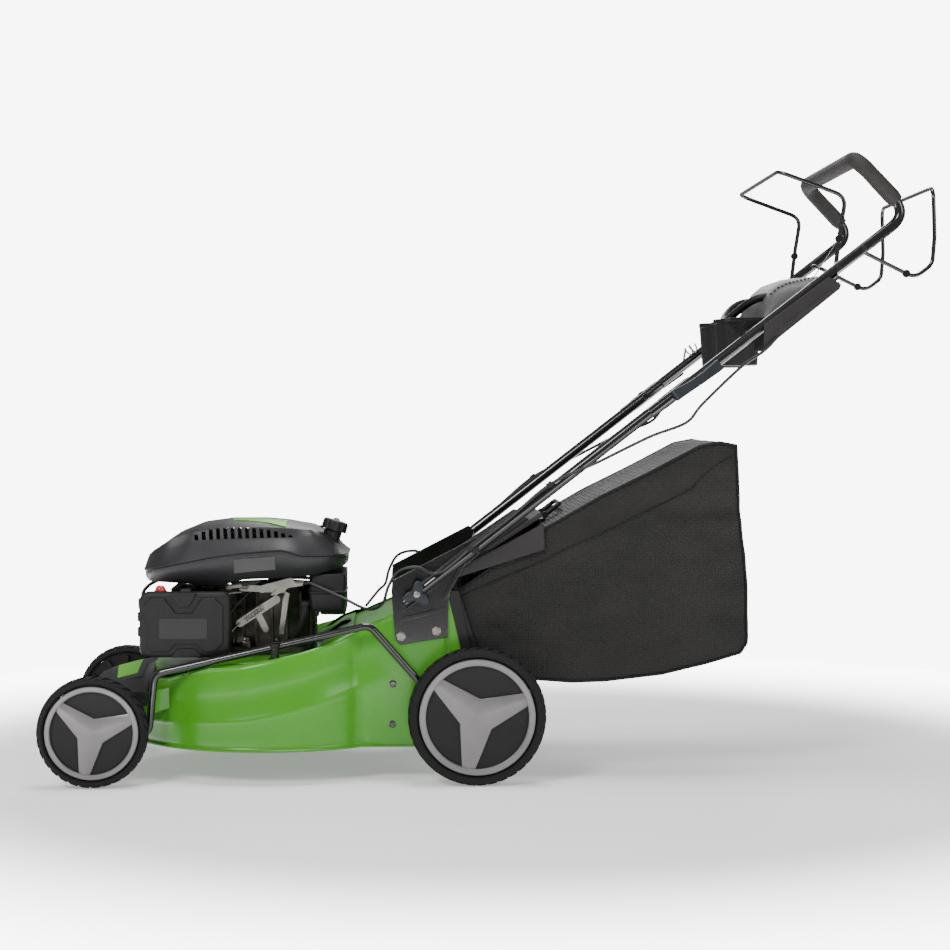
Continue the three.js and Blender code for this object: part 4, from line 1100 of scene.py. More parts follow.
# ------------------------------------------------------------------ handle
LOWER_TUBE_Y = 224
UPPER_TUBE_Y = 246
LOWER_END, LOWER_TOP = 568, 1097
UPPER_END = 1020
FOLD_X = 697
CAM_X = 1065
KNOB_X = 590
HANDLE_BEND = (1495, 1048.5)
LOOP_TOP = (1398, 1150)
LOOP_BEND = 37
GRIP_END = (1474, 1070.5)
STOP_PIVOT = (1365, 947.9)
DRIVE_PIVOT = (1412, 984.3)


def lower_tubes():
    """Round tubes with plastic end plugs."""
    for word, side in SIDES:
        y = side * LOWER_TUBE_Y
        bm = bmesh.new()
        steps = 24
        places = [LOWER_END + (LOWER_TOP - LOWER_END) * k / steps for k in range(steps + 1)]
        add_tube(bm, [on_handle(x, y) for x in places], TUBE_RADIUS, sides=32)
        finish_mesh(f"lower_tube_{word}", bm, "lower_handle", BLACK_PAINT, sharp=40,
                    replaces=f"lower_handle_{word}")
        bm = bmesh.new()
        slope = Vector((1, 0, HANDLE_SLOPE)).normalized()
        for x, turn in ((LOWER_END, -1), (LOWER_TOP, 1)):
            add_turned(bm, on_handle(x, y), slope * turn,
                       [(0, -1), (9.6, -1), (10, 0), (10, 1.2), (8.6, 2.6), (0, 3)], segments=32)
        finish_mesh(f"lower_tube_plugs_{word}", bm, "lower_handle", PLASTIC, sharp=40)


def upper_handle():
    """The upper loop with its fold bolts, and caps over the bails' pivots."""
    bm = bmesh.new()
    left = [(UPPER_END, handle_z(UPPER_END)), HANDLE_BEND, LOOP_TOP]
    route = [(x, -UPPER_TUBE_Y, z) for x, z in left] + [(x, UPPER_TUBE_Y, z) for x, z in reversed(left)]
    add_tube(bm, bend_path(route, LOOP_BEND, 12), TUBE_RADIUS, sides=32)
    for _, side in SIDES:
        add_tube(bm, [on_handle(CAM_X, side * 208), on_handle(CAM_X, side * 263)], 3.8, sides=20)
        add_turned(bm, on_handle(CAM_X, side * 207), (0, side, 0), head(6.6, 7.4, 1, 4.6), segments=6)
    finish_mesh("upper_loop_tube", bm, "upper_handle", BLACK_PAINT, sharp=40, replaces="upper_handle")
    bm = bmesh.new()
    for _, side in SIDES:
        for x, z in (STOP_PIVOT, DRIVE_PIVOT):
            add_turned(bm, at(x, side * (UPPER_TUBE_Y + TUBE_RADIUS - 1), z), (0, side, 0),
                       [(0, 0), (5.5, 0), (5.5, 2), (4.4, 3.6), (0, 4)], segments=24)
    finish_mesh("bail_pivot_caps", bm, "upper_handle", PLASTIC, sharp=30)


def foam_grip():
    """Foam sleeve round the loop, narrowed at its very ends, with a shallow groove a little way in from each
    end.
    """
    corners = ((GRIP_END, -1), (LOOP_TOP, -1), (LOOP_TOP, 1), (GRIP_END, 1))
    path = bend_path([(x, side * UPPER_TUBE_Y, z) for (x, z), side in corners], LOOP_BEND, 14)
    fine = []
    for a, b in zip(path, path[1:]):
        parts = max(int((b - a).length / (12 * MM)), 1)
        fine += [a + (b - a) * k / parts for k in range(parts)]
    fine.append(path[-1])
    count = len(fine) - 1
    radii = []
    for i in range(count + 1):
        near_end = min(i, count - i)
        radii.append(15.3 - 2.4 * (near_end == 0) - 0.5 * math.exp(-((near_end - 6) / 2.0) ** 2))
    bm = bmesh.new()
    add_tube(bm, fine, radii, sides=36)
    finish_mesh("foam_grip_sleeve", bm, "upper_handle", FOAM, sharp=50, replaces="grip")


def bail(name, pivot, profile, leg_y):
    """A bent control bar on two hooked ends, with an eye on each leg for its cable's wire."""
    hook_y = UPPER_TUBE_Y + 8
    leg = [pivot, *profile]
    path = [(pivot[0], -hook_y, pivot[1]), *[(x, -leg_y, z) for x, z in leg],
            *[(x, leg_y, z) for x, z in reversed(leg)], (pivot[0], hook_y, pivot[1])]
    eye = [a + (b - a) * 0.85 for a, b in zip(pivot, profile[0])]
    bm = bmesh.new()
    add_tube(bm, bend_path(path, 26, 9), 4, sides=20)
    for _, side in SIDES:
        add_turned(bm, at(eye[0], side * leg_y - 1.6, eye[1]), (0, 1, 0),
                   [(0, -2.4), (6.8, -2.4), (7.4, -1.2), (7.4, 3.6), (6.8, 4.8), (0, 4.8)], segments=24)
    finish_mesh(f"{name}_bar", bm, name, BLACK_PAINT, sharp=40, replaces=name)


def bails():
    """The engine's stop bail in front of the grip, and the drive bail behind it."""
    bail("stop_bail", STOP_PIVOT, [(1373, 1014), (1384, 1082), (1258, 1128)], 224)
    bail("drive_bail", DRIVE_PIVOT, [(1516, 933), (1549, 958), (1553, 1010), (1550, 1101)], 212)


def rope_guide():
    """A pigtail guide for the starter rope, screwed to the right tube."""
    bm = bmesh.new()
    add_tube(bm, helix((1152, 238, 806), (1168, 228, 818), 9, 2), 1.8, sides=10)
    add_tube(bm, [at(1146, 246, 786), at(1150, 244, 812)], 2.2, sides=12)
    finish_mesh("rope_guide_coil", bm, "upper_handle", STEEL, sharp=60)


def clevis_wires():
    """Bare inner wires from each cable's ferrule to its bail."""
    for name, side, foot, eye in (("stop", -1, (1300, 898), (1372, 1005)),
                                  ("drive", 1, (1330, 915), (1480, 955))):
        start = at(foot[0], side * 236, foot[1])
        end = at(eye[0], side * 226, eye[1])
        bm = bmesh.new()
        add_tube(bm, [start, end], 1.0, sides=8)
        wire = finish_mesh(f"{name}_bail_wire", bm, None, STEEL, sharp=60)
        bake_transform(wire)
        bm = bmesh.new()
        add_tube(bm, [start, start.lerp(end, 0.12)], 3.0, sides=14)
        finish_mesh(f"{name}_wire_ferrule", bm, "upper_handle", STEEL, sharp=60)


def blade_outline(start, axis, length):
    """Outline of a cam lever's blade in X and Z: bowed, narrower in its middle and round at its tip."""
    tip_start = 0.86
    upper, lower = [], []
    for k in range(13):
        t = k / 12
        width = 10.4 - 2.6 * math.sin(math.pi * t) + 1.2 * t
        if t > tip_start:
            width *= math.sqrt(max(1 - (t - tip_start) ** 2 / 0.14 ** 2, 0.0))
        bow = 3.0 * math.sin(math.pi * t)
        x = start[0] + axis[0] * length * t + axis[1] * bow
        z = start[1] + axis[1] * length * t - axis[0] * bow
        upper.append((x - axis[1] * width, z + axis[0] * width))
        lower.append((x + axis[1] * width, z - axis[0] * width))
    return lower[:-1] + upper[::-1][1:]


def quick_releases():
    """Cam levers, each a barrel along its flip axis with a curved blade, and the saddles they clamp."""
    start, end = (CAM_X, handle_z(CAM_X)), along_handle(CAM_X + 76, -4)
    length = math.hypot(end[0] - start[0], end[1] - start[1])
    axis = ((end[0] - start[0]) / length, (end[1] - start[1]) / length)
    outline = blade_outline(start, axis, 1.1 * length)
    across = Vector((axis[1], 0, -axis[0]))
    for word, side in SIDES:
        bm = bmesh.new()
        add_plate(bm, outline, 264.4, 277.4, side)
        barrel_foot = at(start[0], side * 271, start[1]) - across * 10.8 * MM
        add_turned(bm, barrel_foot, across, drum(6.5, 0.8, 21.6, 5.8), segments=32)
        finish_mesh(f"cam_lever_blade_{word}", bm, f"cam_lever_{word}", SLATE, bevel=1.2,
                    replaces=f"cam_lever_{word}")
        bm = bmesh.new()
        add_plate(bm, strap_outline(along_handle(CAM_X - 22, 0), along_handle(CAM_X + 26, 0), 23),
                  234.4, 236, side)
        hub = on_handle(CAM_X, side * 256.4)
        add_turned(bm, hub, (0, side, 0), [(0, 0), (9, 0), (9, 3), (7, 7.4), (0, 7.4)], segments=28)
        finish_mesh(f"fold_saddle_{word}", bm, "upper_handle", PLASTIC, bevel=0.5)


def star_knobs():
    """Three-lobed knobs and their studs, which hold the lower tubes to the brackets."""
    for word, side in SIDES:
        centre = on_handle(KNOB_X, side * 234.6)
        bm = bmesh.new()
        rings = []
        for height, scale in ((0, 0.9), (1.2, 1.0), (7.6, 1.0), (9, 0.9), (9.2, 0.5)):
            ring = []
            for k in range(90):
                a = 2 * math.pi * k / 90
                r = (18.6 + 7.2 * math.cos(3 * (a - math.radians(80)))) * scale
                ring.append(centre + Vector((math.cos(a) * r, side * height, math.sin(a) * r)) * MM)
            rings.append(ring)
        add_grid(bm, rings)
        finish_mesh(f"star_knob_head_{word}", bm, f"star_knob_{word}", SLATE, sharp=50,
                    replaces=f"star_knob_{word}")
        bm = bmesh.new()
        add_tube(bm, [on_handle(KNOB_X, side * 210), on_handle(KNOB_X, side * 235)], 4, sides=16)
        add_turned(bm, centre + Vector((0, side * 9 * MM, 0)), (0, side, 0),
                   [(0, 0), (6, 0), (6, 0.4), (4.6, 1.4), (0, 1.6)], segments=24)
        finish_mesh(f"star_knob_stud_{word}", bm, f"star_knob_{word}", STEEL, sharp=40)


def brackets():
    """Pressed handle brackets with three ribs, a pin with a cap at the fold, and their set bolts."""
    shape = [(558, 252), (648, 266), (650, 352), (664, 384), (704, 418), (712, 440), (700, 452), (545, 372),
             (543, 352), (550, 262)]
    flanged_head = [(0, 0), (9.2, 0), (9.2, 0.9), (7.6, 1.0), (7.8, 3.4), (6.8, 3.9), (0, 3.9)]
    for word, side in SIDES:
        bm = bmesh.new()
        add_plate(bm, shape, 205.5, 209.3, side)
        add_tube(bm, [on_handle(FOLD_X, side * 208), on_handle(FOLD_X, side * 236)], 4, sides=18)
        finish_mesh(f"bracket_plate_{word}", bm, "chassis", BLACK_PAINT, bevel=1.1,
                    replaces=f"handle_bracket_{word}")
        bm = bmesh.new()
        for a, b in (((566, 300), (640, 318)), ((566, 318), (628, 366)), ((640, 338), (690, 428))):
            add_plate(bm, strap_outline(a, b, 9), 209.2, 211.4, side)
        finish_mesh(f"bracket_ribs_{word}", bm, "chassis", BLACK_PAINT, bevel=1.0)
        bm = bmesh.new()
        for x, z in ((561, 268), (627, 278)):
            add_turned(bm, at(x, side * 209.8, z), (0, side, 0), flanged_head, segments=6)
        finish_mesh(f"bracket_set_bolts_{word}", bm, "chassis", STEEL, sharp=25,
                    replaces=f"bracket_bolts_{word}")
        bm = bmesh.new()
        add_turned(bm, on_handle(FOLD_X, side * 234.3), (0, side, 0),
                   [(0, 0), (8, 0), (8, 1.2), (6, 1.4), (5.6, 4.2), (0, 4.8)], segments=24)
        finish_mesh(f"bracket_pin_cap_{word}", bm, "chassis", PLASTIC, sharp=30)


# ------------------------------------------------------------------ cables
def cable_route(side, tail):
    """Knots of one cable from the console down its tube, and on along tail."""
    upper = [(1226, 268, 796), (1181, 270, 764), (1112, 272, 698), (1082, 271, 664), (1016, 265, 638),
             (924, 252, 592), (836, 241, 551)]
    on_tube = [(x, LOWER_TUBE_Y + 14.5, handle_z(x) + 8) for x in (760, 690, 630)]
    return [(x, side * y, z) for x, y, z in [*upper, *on_tube, *tail]]


def cables():
    """Sheathed cables from the console down the tubes, each made in an upper and a lower length, with clips
    on the lower tubes.
    """
    tails = {
        "brake": (-1, [(590, 237, 398), (556, 231, 390), (538, 220, 362), (526, 204, 328), (498, 178, 316),
                       (450, 155, 336), (386, 138, 364)]),
        "drive": (1, [(590, 237, 398), (556, 231, 390), (538, 220, 362), (530, 202, 334), (516, 170, 322),
                      (492, 120, 296)]),
    }
    for name, (side, tail) in tails.items():
        route = cable_route(side, tail)
        upper = route[:6]
        lower = route[5:]
        bm = bmesh.new()
        add_tube(bm, curve_path([(1252, side * 262, 822)] + upper, 10), 2.9, sides=14)
        top = finish_mesh(f"{name}_cable_upper", bm, None, CABLE, sharp=60,
                          replaces=f"{name}_cable")
        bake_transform(top)
        bm = bmesh.new()
        add_tube(bm, curve_path(lower, 10), 2.9, sides=14)
        low = finish_mesh(f"{name}_cable_lower", bm, None, CABLE, sharp=60)
        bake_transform(low)
        bm = bmesh.new()
        for x, z, y in ((836, 551, 241), (690, handle_z(690) + 8, 238.5)):
            add_turned(bm, at(x - 6, side * y, z - 5), (1, 0, HANDLE_SLOPE),
                       [(3.0, 0), (5.4, 0), (5.4, 12), (3.0, 12)], segments=20)
            add_block(bm, x - 3, x + 7, LOWER_TUBE_Y + 4, y + 1, z - 6, z + 4, side)
        finish_mesh(f"{name}_cable_clips", bm, "lower_handle", PLASTIC, bevel=0.5)


# ------------------------------------------------------------------ instrument cover and cups
DOME_CROWN = [(1246, 888), (1252, 905), (1262, 920), (1276, 932), (1293, 938), (1312, 940.5), (1338, 942),
              (1360, 941)]
DOME_SECTION = [(1247, 850), *DOME_CROWN, (1371, 934), (1372, 922), (1262, 846)]
DOME_HALF = 149


def dome_point(x, z, t):
    """A point of the dome's section at a share t of its half width, sinking to the deck at both sides."""
    deck = handle_z(x) - 4
    swell = math.sqrt(max(1 - abs(t) ** 5, 0.0))
    return at(x, DOME_HALF * t, deck + (z - deck) * (0.15 + 0.85 * swell) if z > deck else z)


def console():
    """Side skirts, a flat deck across the tubes, and a domed cover in a paler grey with an arch in front."""
    bm = bmesh.new()
    skirt = [(1226, 797), (1366, 909), (1369, 918), (1346, 932), (1226, 843)]
    for _, side in SIDES:
        add_plate(bm, skirt, 257.6, 262, side)
    add_plate(bm, [along_handle(1240, -16), along_handle(1360, -16), along_handle(1360, -11.5),
                   along_handle(1240, -11.5)], -261.6, 261.6)
    add_plate(bm, [along_handle(1254, -7), along_handle(1344, -7), along_handle(1344, -2),
                   along_handle(1254, -2)], -235.6, 235.6)
    finish_mesh("console_body", bm, "upper_handle", CONSOLE, bevel=1.6, replaces="console")
    bm = bmesh.new()
    for _, side in SIDES:
        add_plate(bm, [(1240, 816), (1350, 903), (1350, 909), (1240, 826)], 261.6, 263.0, side)
        add_plate(bm, rounded_rectangle(1236, 1262, 838, 850, 4), 261.6, 263.2, side)
    finish_mesh("console_side_ribs", bm, "upper_handle", CONSOLE, bevel=0.7)

    bm = bmesh.new()
    rings = [[dome_point(x, z, t / 20) for x, z in DOME_SECTION] for t in range(-20, 21)]
    add_grid(bm, rings)
    finish_mesh("console_dome", bm, "upper_handle", DOME, sharp=45)
    bm = bmesh.new()
    for _, side in SIDES:
        for i in range(14):
            x = 1262 + 7.2 * i
            spot = dome_point(x, between(x, DOME_CROWN), side * 0.86)
            add_turned(bm, spot - Vector((0, 0, 1 * MM)), (0, side * 0.5, 1),
                       [(0, 0), (2.4, 0), (2.4, 1.8), (1.8, 2.4), (0, 2.4)], segments=14)
    finish_mesh("console_dome_dots", bm, "upper_handle", CABLE, sharp=30)
    bm = bmesh.new()
    hoop = []
    for k in range(33):
        a = math.pi * k / 32
        hoop.append(at(1259 - 65 * math.sin(a), -104 * math.cos(a), 903 - 43 * math.sin(a) ** 2))
    add_tube(bm, hoop, 7.5, sides=20)
    finish_mesh("console_front_hoop", bm, "upper_handle", PLASTIC, sharp=50)


CUP_X = 1203
CUP_TOP = 860


def cup_holders():
    """Two ribbed cups that taper downwards, in a tray with a side plate next to each tube."""
    bm = bmesh.new()
    floor = CUP_TOP - 88
    cup = [(0, floor), (37, floor), (39, floor + 2), (44.6, CUP_TOP - 9), (45.8, CUP_TOP - 8),
           (46, CUP_TOP - 2), (45, CUP_TOP), (43.6, CUP_TOP), (43, CUP_TOP - 3), (36.6, floor + 4),
           (0, floor + 3.4)]
    for y in (-95, 95):
        add_turned(bm, at(CUP_X, y, 0), (0, 0, 1), cup, segments=72)
        for i in range(18):
            a = 2 * math.pi * i / 18
            c, s = math.cos(a), math.sin(a)
            foot = at(CUP_X + 38.6 * c, y + 38.6 * s, floor + 6)
            tip = at(CUP_X + 44 * c, y + 44 * s, CUP_TOP - 14)
            add_tube(bm, [foot, tip], 0.9, sides=8)
    finish_mesh("cup_holder_cups", bm, "upper_handle", PLASTIC, sharp=40, replaces="cup_holders")
    bm = bmesh.new()
    top, under = CUP_TOP - 0.2, CUP_TOP - 6
    add_block(bm, CUP_X - 30, CUP_X + 44, -48.5, 48.5, under, top)
    for _, side in SIDES:
        add_block(bm, CUP_X - 30, CUP_X + 44, 141.5, 200, under, top, side)
        add_block(bm, CUP_X + 36, CUP_X + 44, 48, 142, under, top, side)
        add_block(bm, CUP_X - 4, CUP_X + 36, 195, 201, CUP_TOP - 34, CUP_TOP - 3, side)
        add_plate(bm, [(CUP_X + 10, CUP_TOP - 24), (CUP_X + 10, CUP_TOP - 66), (CUP_X + 24, CUP_TOP - 64),
                       (CUP_X + 46, CUP_TOP - 44), (CUP_X + 46, CUP_TOP - 20)], 228, 234, side)
        add_block(bm, CUP_X - 4, CUP_X + 36, 198, 235, CUP_TOP - 34, CUP_TOP - 24, side)
    finish_mesh("cup_holder_tray", bm, "upper_handle", PLASTIC, bevel=1.0)


# ------------------------------------------------------------------ discharge flap and grass bag
def rear_flap():
    """Spring flap with a ribbed back, a curled hinge edge and moulded side cheeks."""
    outer = [(656, 391), (668, 394), (740, 441), (800, 482), (818, 494), (822, 497), (826, 489), (662, 381)]
    bm = bmesh.new()
    add_plate(bm, outer, -185, 185)
    finish_mesh("flap_panel", bm, "rear_flap", CONSOLE, bevel=1.4, replaces="rear_flap")
    bm = bmesh.new()
    rib = [(668, 394), (740, 440), (800, 479), (800, 485), (790, 487), (664, 402)]
    for y in range(-168, 169, 28):
        add_plate(bm, rib, y - 2.4, y + 2.4)
    finish_mesh("flap_ribs", bm, "rear_flap", CONSOLE, bevel=0.8)
    bm = bmesh.new()
    for y0, y1 in ((-185, -62), (-58, 58), (62, 185)):
        long = y1 - y0
        add_turned(bm, at(656, y0, 378), (0, 1, 0),
                   [(4.7, 0), (8.6, 0), (9, 1), (9, long - 1), (8.6, long), (4.7, long)], segments=32)
    finish_mesh("flap_knuckles", bm, "rear_flap", CONSOLE, sharp=35)
    bm = bmesh.new()
    for y in (-60, 60):
        add_tube(bm, helix((656, y - 1.8, 378), (656, y + 1.8, 378), 7.4, 3), 0.7, sides=6)
    finish_mesh("flap_spring", bm, "rear_flap", STEEL, sharp=60)
    bm = bmesh.new()
    add_plate(bm, [(700, 417), (745, 446), (748, 450), (740, 451), (698, 423)], -40, 40)
    finish_mesh("flap_stripe", bm, "rear_flap", LIME, bevel=0.6)
    bm = bmesh.new()
    cheek = [(659, 374), (828, 428), (826, 470), (822, 474), (710, 413), (672, 392)]
    brow = [(672, 389), (710, 410), (822, 470), (822, 474), (710, 414), (672, 393)]
    for _, side in SIDES:
        add_plate(bm, cheek, 200.6, 202.8, side)
        add_plate(bm, brow, 184, 202.8, side)
    finish_mesh("flap_cheeks", bm, "rear_flap", CONSOLE, bevel=0.8)


BAG_HALF = 200
MOUTH_LEAN = math.atan2(40, 155)


def mouth_point(up, out):
    """A point by its distance up the bag's leaning mouth, and out from it to the rear."""
    return (690 - up * math.sin(MOUTH_LEAN) + out * math.cos(MOUTH_LEAN),
            200 + up * math.cos(MOUTH_LEAN) + out * math.sin(MOUTH_LEAN))


BAG_TOP = [mouth_point(148, 8), (829, 466), (935, 526), (1028, 571), (1124, 620), (1162, 627), (1196, 621)]
BAG_BOTTOM = [mouth_point(-6, 8), (800, 186), (879, 180), (940, 182), (1041, 194), (1115, 213), (1176, 232)]
BAG_SEAM_DROP = [(660, 8), (827, 54), (930, 66), (1030, 70), (1100, 68), (1165, 34), (1196, 8)]
BAG_REAR = [(0.0, 21), (0.05, 33), (0.13, 31), (0.35, 25), (0.66, 5), (1.0, -8)]   # rear edge's bow by height
BAG_COLUMNS = 90
BAG_LEVELS = 44
BAG_ACROSS = 30
BAG_LOWEST = 179
BAG_HIGHEST = 628.5
BAG_REARMOST = 1213
CREASE_LIMIT = 2.6
CLOTH = 1.0


def bag_stations():
    """Stations from the mouth to the rear: (share, x of bottom, z of bottom, x of top, z of top)."""
    def follow(outline, share):
        lengths = [0.0]
        for a, b in zip(outline, outline[1:]):
            lengths.append(lengths[-1] + math.hypot(b[0] - a[0], b[1] - a[1]))
        reach = share * lengths[-1]
        for (a, b), l0, l1 in zip(zip(outline, outline[1:]), lengths, lengths[1:]):
            if reach <= l1:
                t = (reach - l0) / (l1 - l0)
                return (a[0] + (b[0] - a[0]) * t, a[1] + (b[1] - a[1]) * t)
        return outline[-1]

    stations = []
    for i in range(BAG_COLUMNS + 1):
        share = i / BAG_COLUMNS
        stations.append((share, *follow(BAG_BOTTOM, share), *follow(BAG_TOP, share)))
    return stations


def wrinkle(point, scale, strength):
    """Soft crumples: stretched noise, strongest where its folds meet."""
    sample = Vector((point.x * 0.7, point.y, point.z * 1.3)) * scale
    value = noise.noise(sample) + 0.5 * noise.noise(sample * 2.1)
    return strength * value


def bag_bulge(share):
    """How far the cloth swells at a station: least at the mouth and at the rear."""
    return math.sin(math.pi * min(max(share, 0.02), 0.99)) ** 0.6


def bag_side_place(side, t, station):
    """A point of a side panel at the share t of its height: it sags, creases and draws in at its edges."""
    share, bx, bz, tx, tz = station
    x = bx + (tx - bx) * t + between(t, BAG_REAR) * share ** 3
    z = bz + (tz - bz) * t
    inward = 9 - 8 * math.sin(math.pi * t) ** 0.7 * (0.35 + 0.65 * bag_bulge(share))
    inward += 3.5 * (1 - ease(share / 0.06)) + 6 * ease((share - 0.9) / 0.1)
    sag = 2.6 * math.sin(math.pi * t) * math.sin(share * 23 + t * 2) * (0.3 + share)
    place = at(x, side * (BAG_HALF - inward), z - sag)
    fade = min(1, 6 * t, 6 * (1 - t)) * min(1, 8 * share)
    crease = wrinkle(place + Vector((side * 3, 0, 0)), 10, 11.5) + wrinkle(place, 27, 4.0) - 3
    crease += 2.4 * math.exp(-((share - 0.22 - 0.5 * (1 - t)) / 0.02) ** 2) * (1 - t)
    place.y += side * min(crease * fade, CREASE_LIMIT) * MM
    return place


def bag_cross_row(low, station, left, right):
    """A row across the bottom or the top panel, crowned between the edges of the side panels."""
    share, bx, bz, tx, tz = station
    bow = BAG_REAR[0 if low else -1][1] * share ** 3
    x, z = (bx + bow, bz) if low else (tx + bow, tz)
    half = right.y / MM
    rise, crumple = (-2.5, 1.2) if low else (5.0, 1.8)
    row = []
    for k in range(BAG_ACROSS + 1):
        s = -1 + 2 * k / BAG_ACROSS
        crown = 1 - s * s
        place = at(x, half * s, z + rise * crown * bag_bulge(share))
        place.z += wrinkle(place, 14, crumple) * MM * crown
        place.z = max(place.z, BAG_LOWEST * MM) if low else min(place.z, BAG_HIGHEST * MM)
        row.append(place)
    row[0], row[-1] = left.copy(), right.copy()
    return row


def bag_back_rows(left, right, low_row, top_row):
    """Rows up the back panel, which bellies out between its four edges."""
    rows = []
    for k in range(BAG_LEVELS + 1):
        t = k / BAG_LEVELS
        row = []
        for j in range(BAG_ACROSS + 1):
            s = -1 + 2 * j / BAG_ACROSS
            place = left[k].lerp(right[k], j / BAG_ACROSS)
            belly = 11 * math.sin(math.pi * t) ** 0.8 * (1 - s ** 4)
            place.x += (belly + wrinkle(place, 13, 2.2) * (1 - s ** 8) * math.sin(math.pi * t)) * MM
            place.x = min(place.x, at(BAG_REARMOST, 0, 0).x)
            row.append(place)
        rows.append(row)
    rows[0] = [point.copy() for point in low_row]
    rows[-1] = [point.copy() for point in top_row]
    return rows


def bag_body():
    """A sewn fabric shell that sags between its seams, with a paler crowned top panel."""
    stations = bag_stations()
    sides = {side: [[bag_side_place(side, k / BAG_LEVELS, station) for k in range(BAG_LEVELS + 1)]
                    for station in stations] for _, side in SIDES}
    bottom, top = [
        [bag_cross_row(low, station, left[end], right[end])
         for station, left, right in zip(stations, sides[-1], sides[1])]
        for low, end in ((True, 0), (False, -1))]
    back = bag_back_rows(sides[-1][-1], sides[1][-1], bottom[-1], top[-1])
    for name, rows, look, node in (
            ("bag_side_left", sides[-1], FABRIC, "bag_body"), ("bag_side_right", sides[1], FABRIC, None),
            ("bag_top", top, TOP_FABRIC, None), ("bag_bottom", bottom, FABRIC, None),
            ("bag_back", back, FABRIC, None)):
        bm = bmesh.new()
        add_grid(bm, rows, closed=False)
        thicken(finish_mesh(name, bm, "grass_bag", look, sharp=80, replaces=node), CLOTH)
    bag_seams(sides, top)


def bag_seams(rows_side, rows_top):
    """Bound edges along the top, bottom and rear corners, and the lengthwise seam under the top edge."""
    bm = bmesh.new()
    for _, side in SIDES:
        top_edge = [row[-1] for row in rows_side[side]]
        low_edge = [row[0] for row in rows_side[side]]
        add_tube(bm, top_edge, 2.6, sides=10)
        add_tube(bm, low_edge, 2.4, sides=10)
        add_tube(bm, rows_side[side][-1], 2.6, sides=10)
        seam = []
        for share_row in rows_side[side]:
            x = (share_row[-1].x - FRONT_AXLE.x) / MM
            span = (share_row[-1] - share_row[0]).length / MM
            t = 1 - between(x, BAG_SEAM_DROP) / span
            k = t * (len(share_row) - 1)
            low = int(k)
            seam.append(share_row[low].lerp(share_row[min(low + 1, len(share_row) - 1)], k - low))
        seam = [point + Vector((0, side * 0.6 * MM, 0)) for point in seam]
        add_tube(bm, seam, 1.5, sides=8)
    add_tube(bm, rows_top[-1], 2.6, sides=10)
    finish_mesh("bag_bound_seams", bm, "grass_bag", TAPE, sharp=70)

    bm = bmesh.new()
    for row in rows_side[-1][3:-2:2]:
        stitch = row[-1] + Vector((0, -2.0 * MM, -5 * MM))
        ahead = stitch + Vector((2.6 * MM, 0, 1.2 * MM))
        add_tube(bm, [stitch, ahead], 0.45, sides=5)
    add_plate(bm, [(1192, 532), (1208, 532), (1212, 526), (1212, 505), (1208, 499), (1192, 499)], -8, 16)
    finish_mesh("bag_stitches_and_loop", bm, "grass_bag", TAPE, sharp=60)


def bag_frame():
    """Moulded mouth frame of side rails and cross bars, with a plate at its top and side cheeks."""
    bm = bmesh.new()
    inner_half, outer_half = BAG_HALF - 20, BAG_HALF - 8
    foot, crest, bar = -6, 150, 12

    def rail(low, high):
        return [mouth_point(low, 2), mouth_point(low, 7.5), mouth_point(high, 7.5), mouth_point(high, 2)]

    for _, side in SIDES:
        add_plate(bm, rail(foot, crest), inner_half, outer_half, side)
    for low, high in ((foot, foot + bar), (crest - bar, crest)):
        add_plate(bm, rail(low, high), -outer_half, outer_half)
    finish_mesh("bag_mouth_frame", bm, "grass_bag", BAG_PLASTIC, bevel=1.0, replaces="bag_frame")
    bm = bmesh.new()
    front = [mouth_point(146, 9), mouth_point(150, 12), (826, 470), (836, 472), (840, 480), (828, 478)]
    add_plate(bm, front, -60, 60)
    finish_mesh("bag_top_plate", bm, "grass_bag", BAG_PLASTIC, bevel=1.0)
    bm = bmesh.new()
    for _, side in SIDES:
        cheek = [mouth_point(up, out) for up, out in ((-6, 2), (-6, 26), (60, 22), (140, 18), (150, 2))]
        add_plate(bm, cheek, 193, 199.4, side)
    finish_mesh("bag_mouth_cheeks", bm, "grass_bag", BAG_PLASTIC, bevel=1.2)


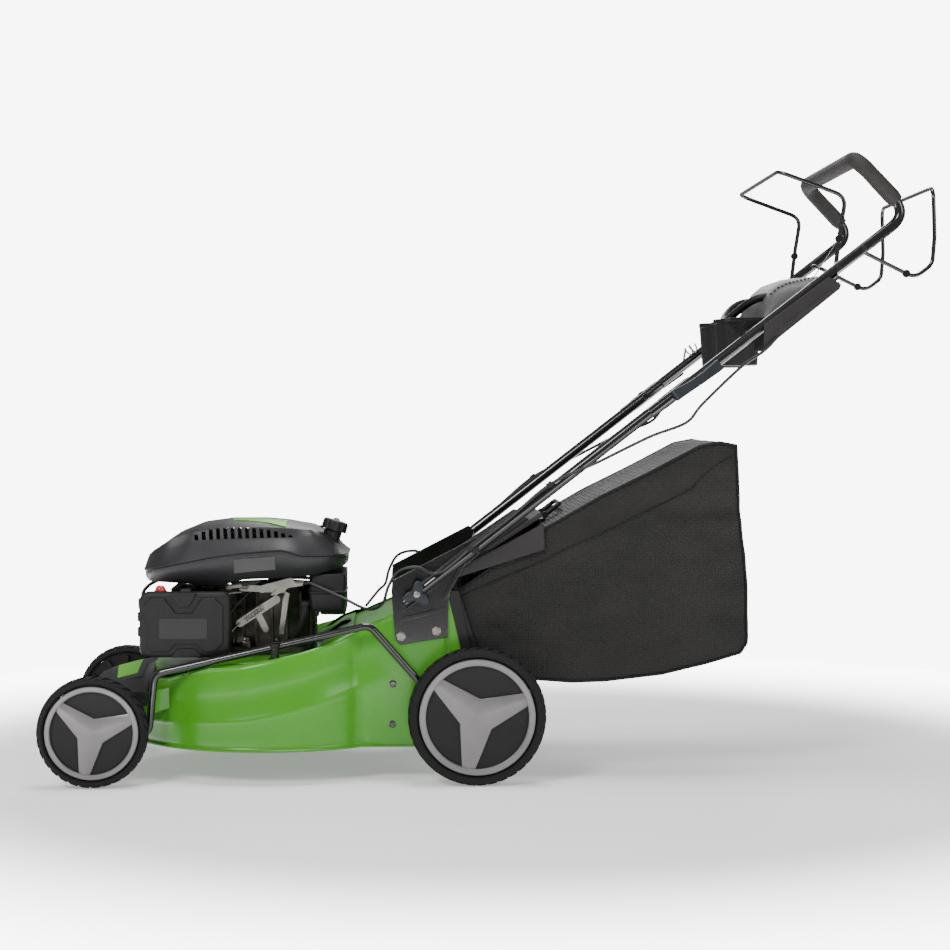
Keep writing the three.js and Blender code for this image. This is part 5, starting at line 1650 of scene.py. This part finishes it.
def bag_handle():
    """Hinged carry handle with finger waves, on two bosses."""
    bm = bmesh.new()
    path = bend_path([(838, -62, 486), (866, -62, 508), (866, 62, 508), (838, 62, 486)], 14, 8)
    count = len(path) - 1
    radii = [4.9 - 0.5 * abs(math.sin(3 * math.pi * i / count)) for i in range(count + 1)]
    add_tube(bm, path, radii, sides=20)
    for y in (-62, 62):
        add_turned(bm, at(838, y - 5, 486), (0, 1, 0), drum(6.6, 1, 10, 6), segments=24)
    finish_mesh("bag_carry_handle", bm, "bag_handle", BAG_PLASTIC, sharp=40, replaces="bag_handle")


# ------------------------------------------------------------------ finishes of the CAD pieces that stay
def dress_cad():
    """Gives the CAD pieces that stay visible their materials and soft edges."""
    looks = {
        "deck_shell": GREEN, "front_axle": STEEL, "rear_axle": STEEL, "gearbox": ALLOY, "drive_belt": BELT,
        "engine_block": ALLOY, "crankshaft": STEEL, "blade": DARK_STEEL, "blade_bolt": STEEL,
        "fuel_tank": PLASTIC, "air_filter_box": PLASTIC, "governor_lever": STEEL, "brake_lever": STEEL,
        "flap_hinge_rod": STEEL,
    }
    for node, (finish, _) in looks.items():
        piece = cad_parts[node]
        for slot in piece.material_slots:
            slot.material = finish
        round_edges(piece, 0.5, 40)


def build_mower():
    """Every piece, from the ground up."""
    deck_skin()
    deck_top()
    rivets_and_slots()
    front_trim()
    link_tube()
    wash_port()
    for end, axle in (("front", FRONT_AXLE), ("rear", REAR_AXLE)):
        radius = (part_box(f"{end}_left_tyre")[1][2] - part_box(f"{end}_left_tyre")[0][2]) / 2 / MM
        for word, _ in SIDES:
            wheel(end, word, axle, radius)
    fan_cowl()
    fuel_cap()
    fuel_tank()
    starter()
    filter_cover()
    primer()
    carburettor()
    linkages()
    engine_block()
    muffler()
    spark_plug()
    brackets()
    lower_tubes()
    upper_handle()
    foam_grip()
    bails()
    clevis_wires()
    rope_guide()
    quick_releases()
    star_knobs()
    cables()
    console()
    cup_holders()
    rear_flap()
    bag_frame()
    bag_body()
    bag_handle()
    dress_cad()


place_camera()
light_studio()
lay_floor()
build_mower()
bpy.context.view_layer.update()
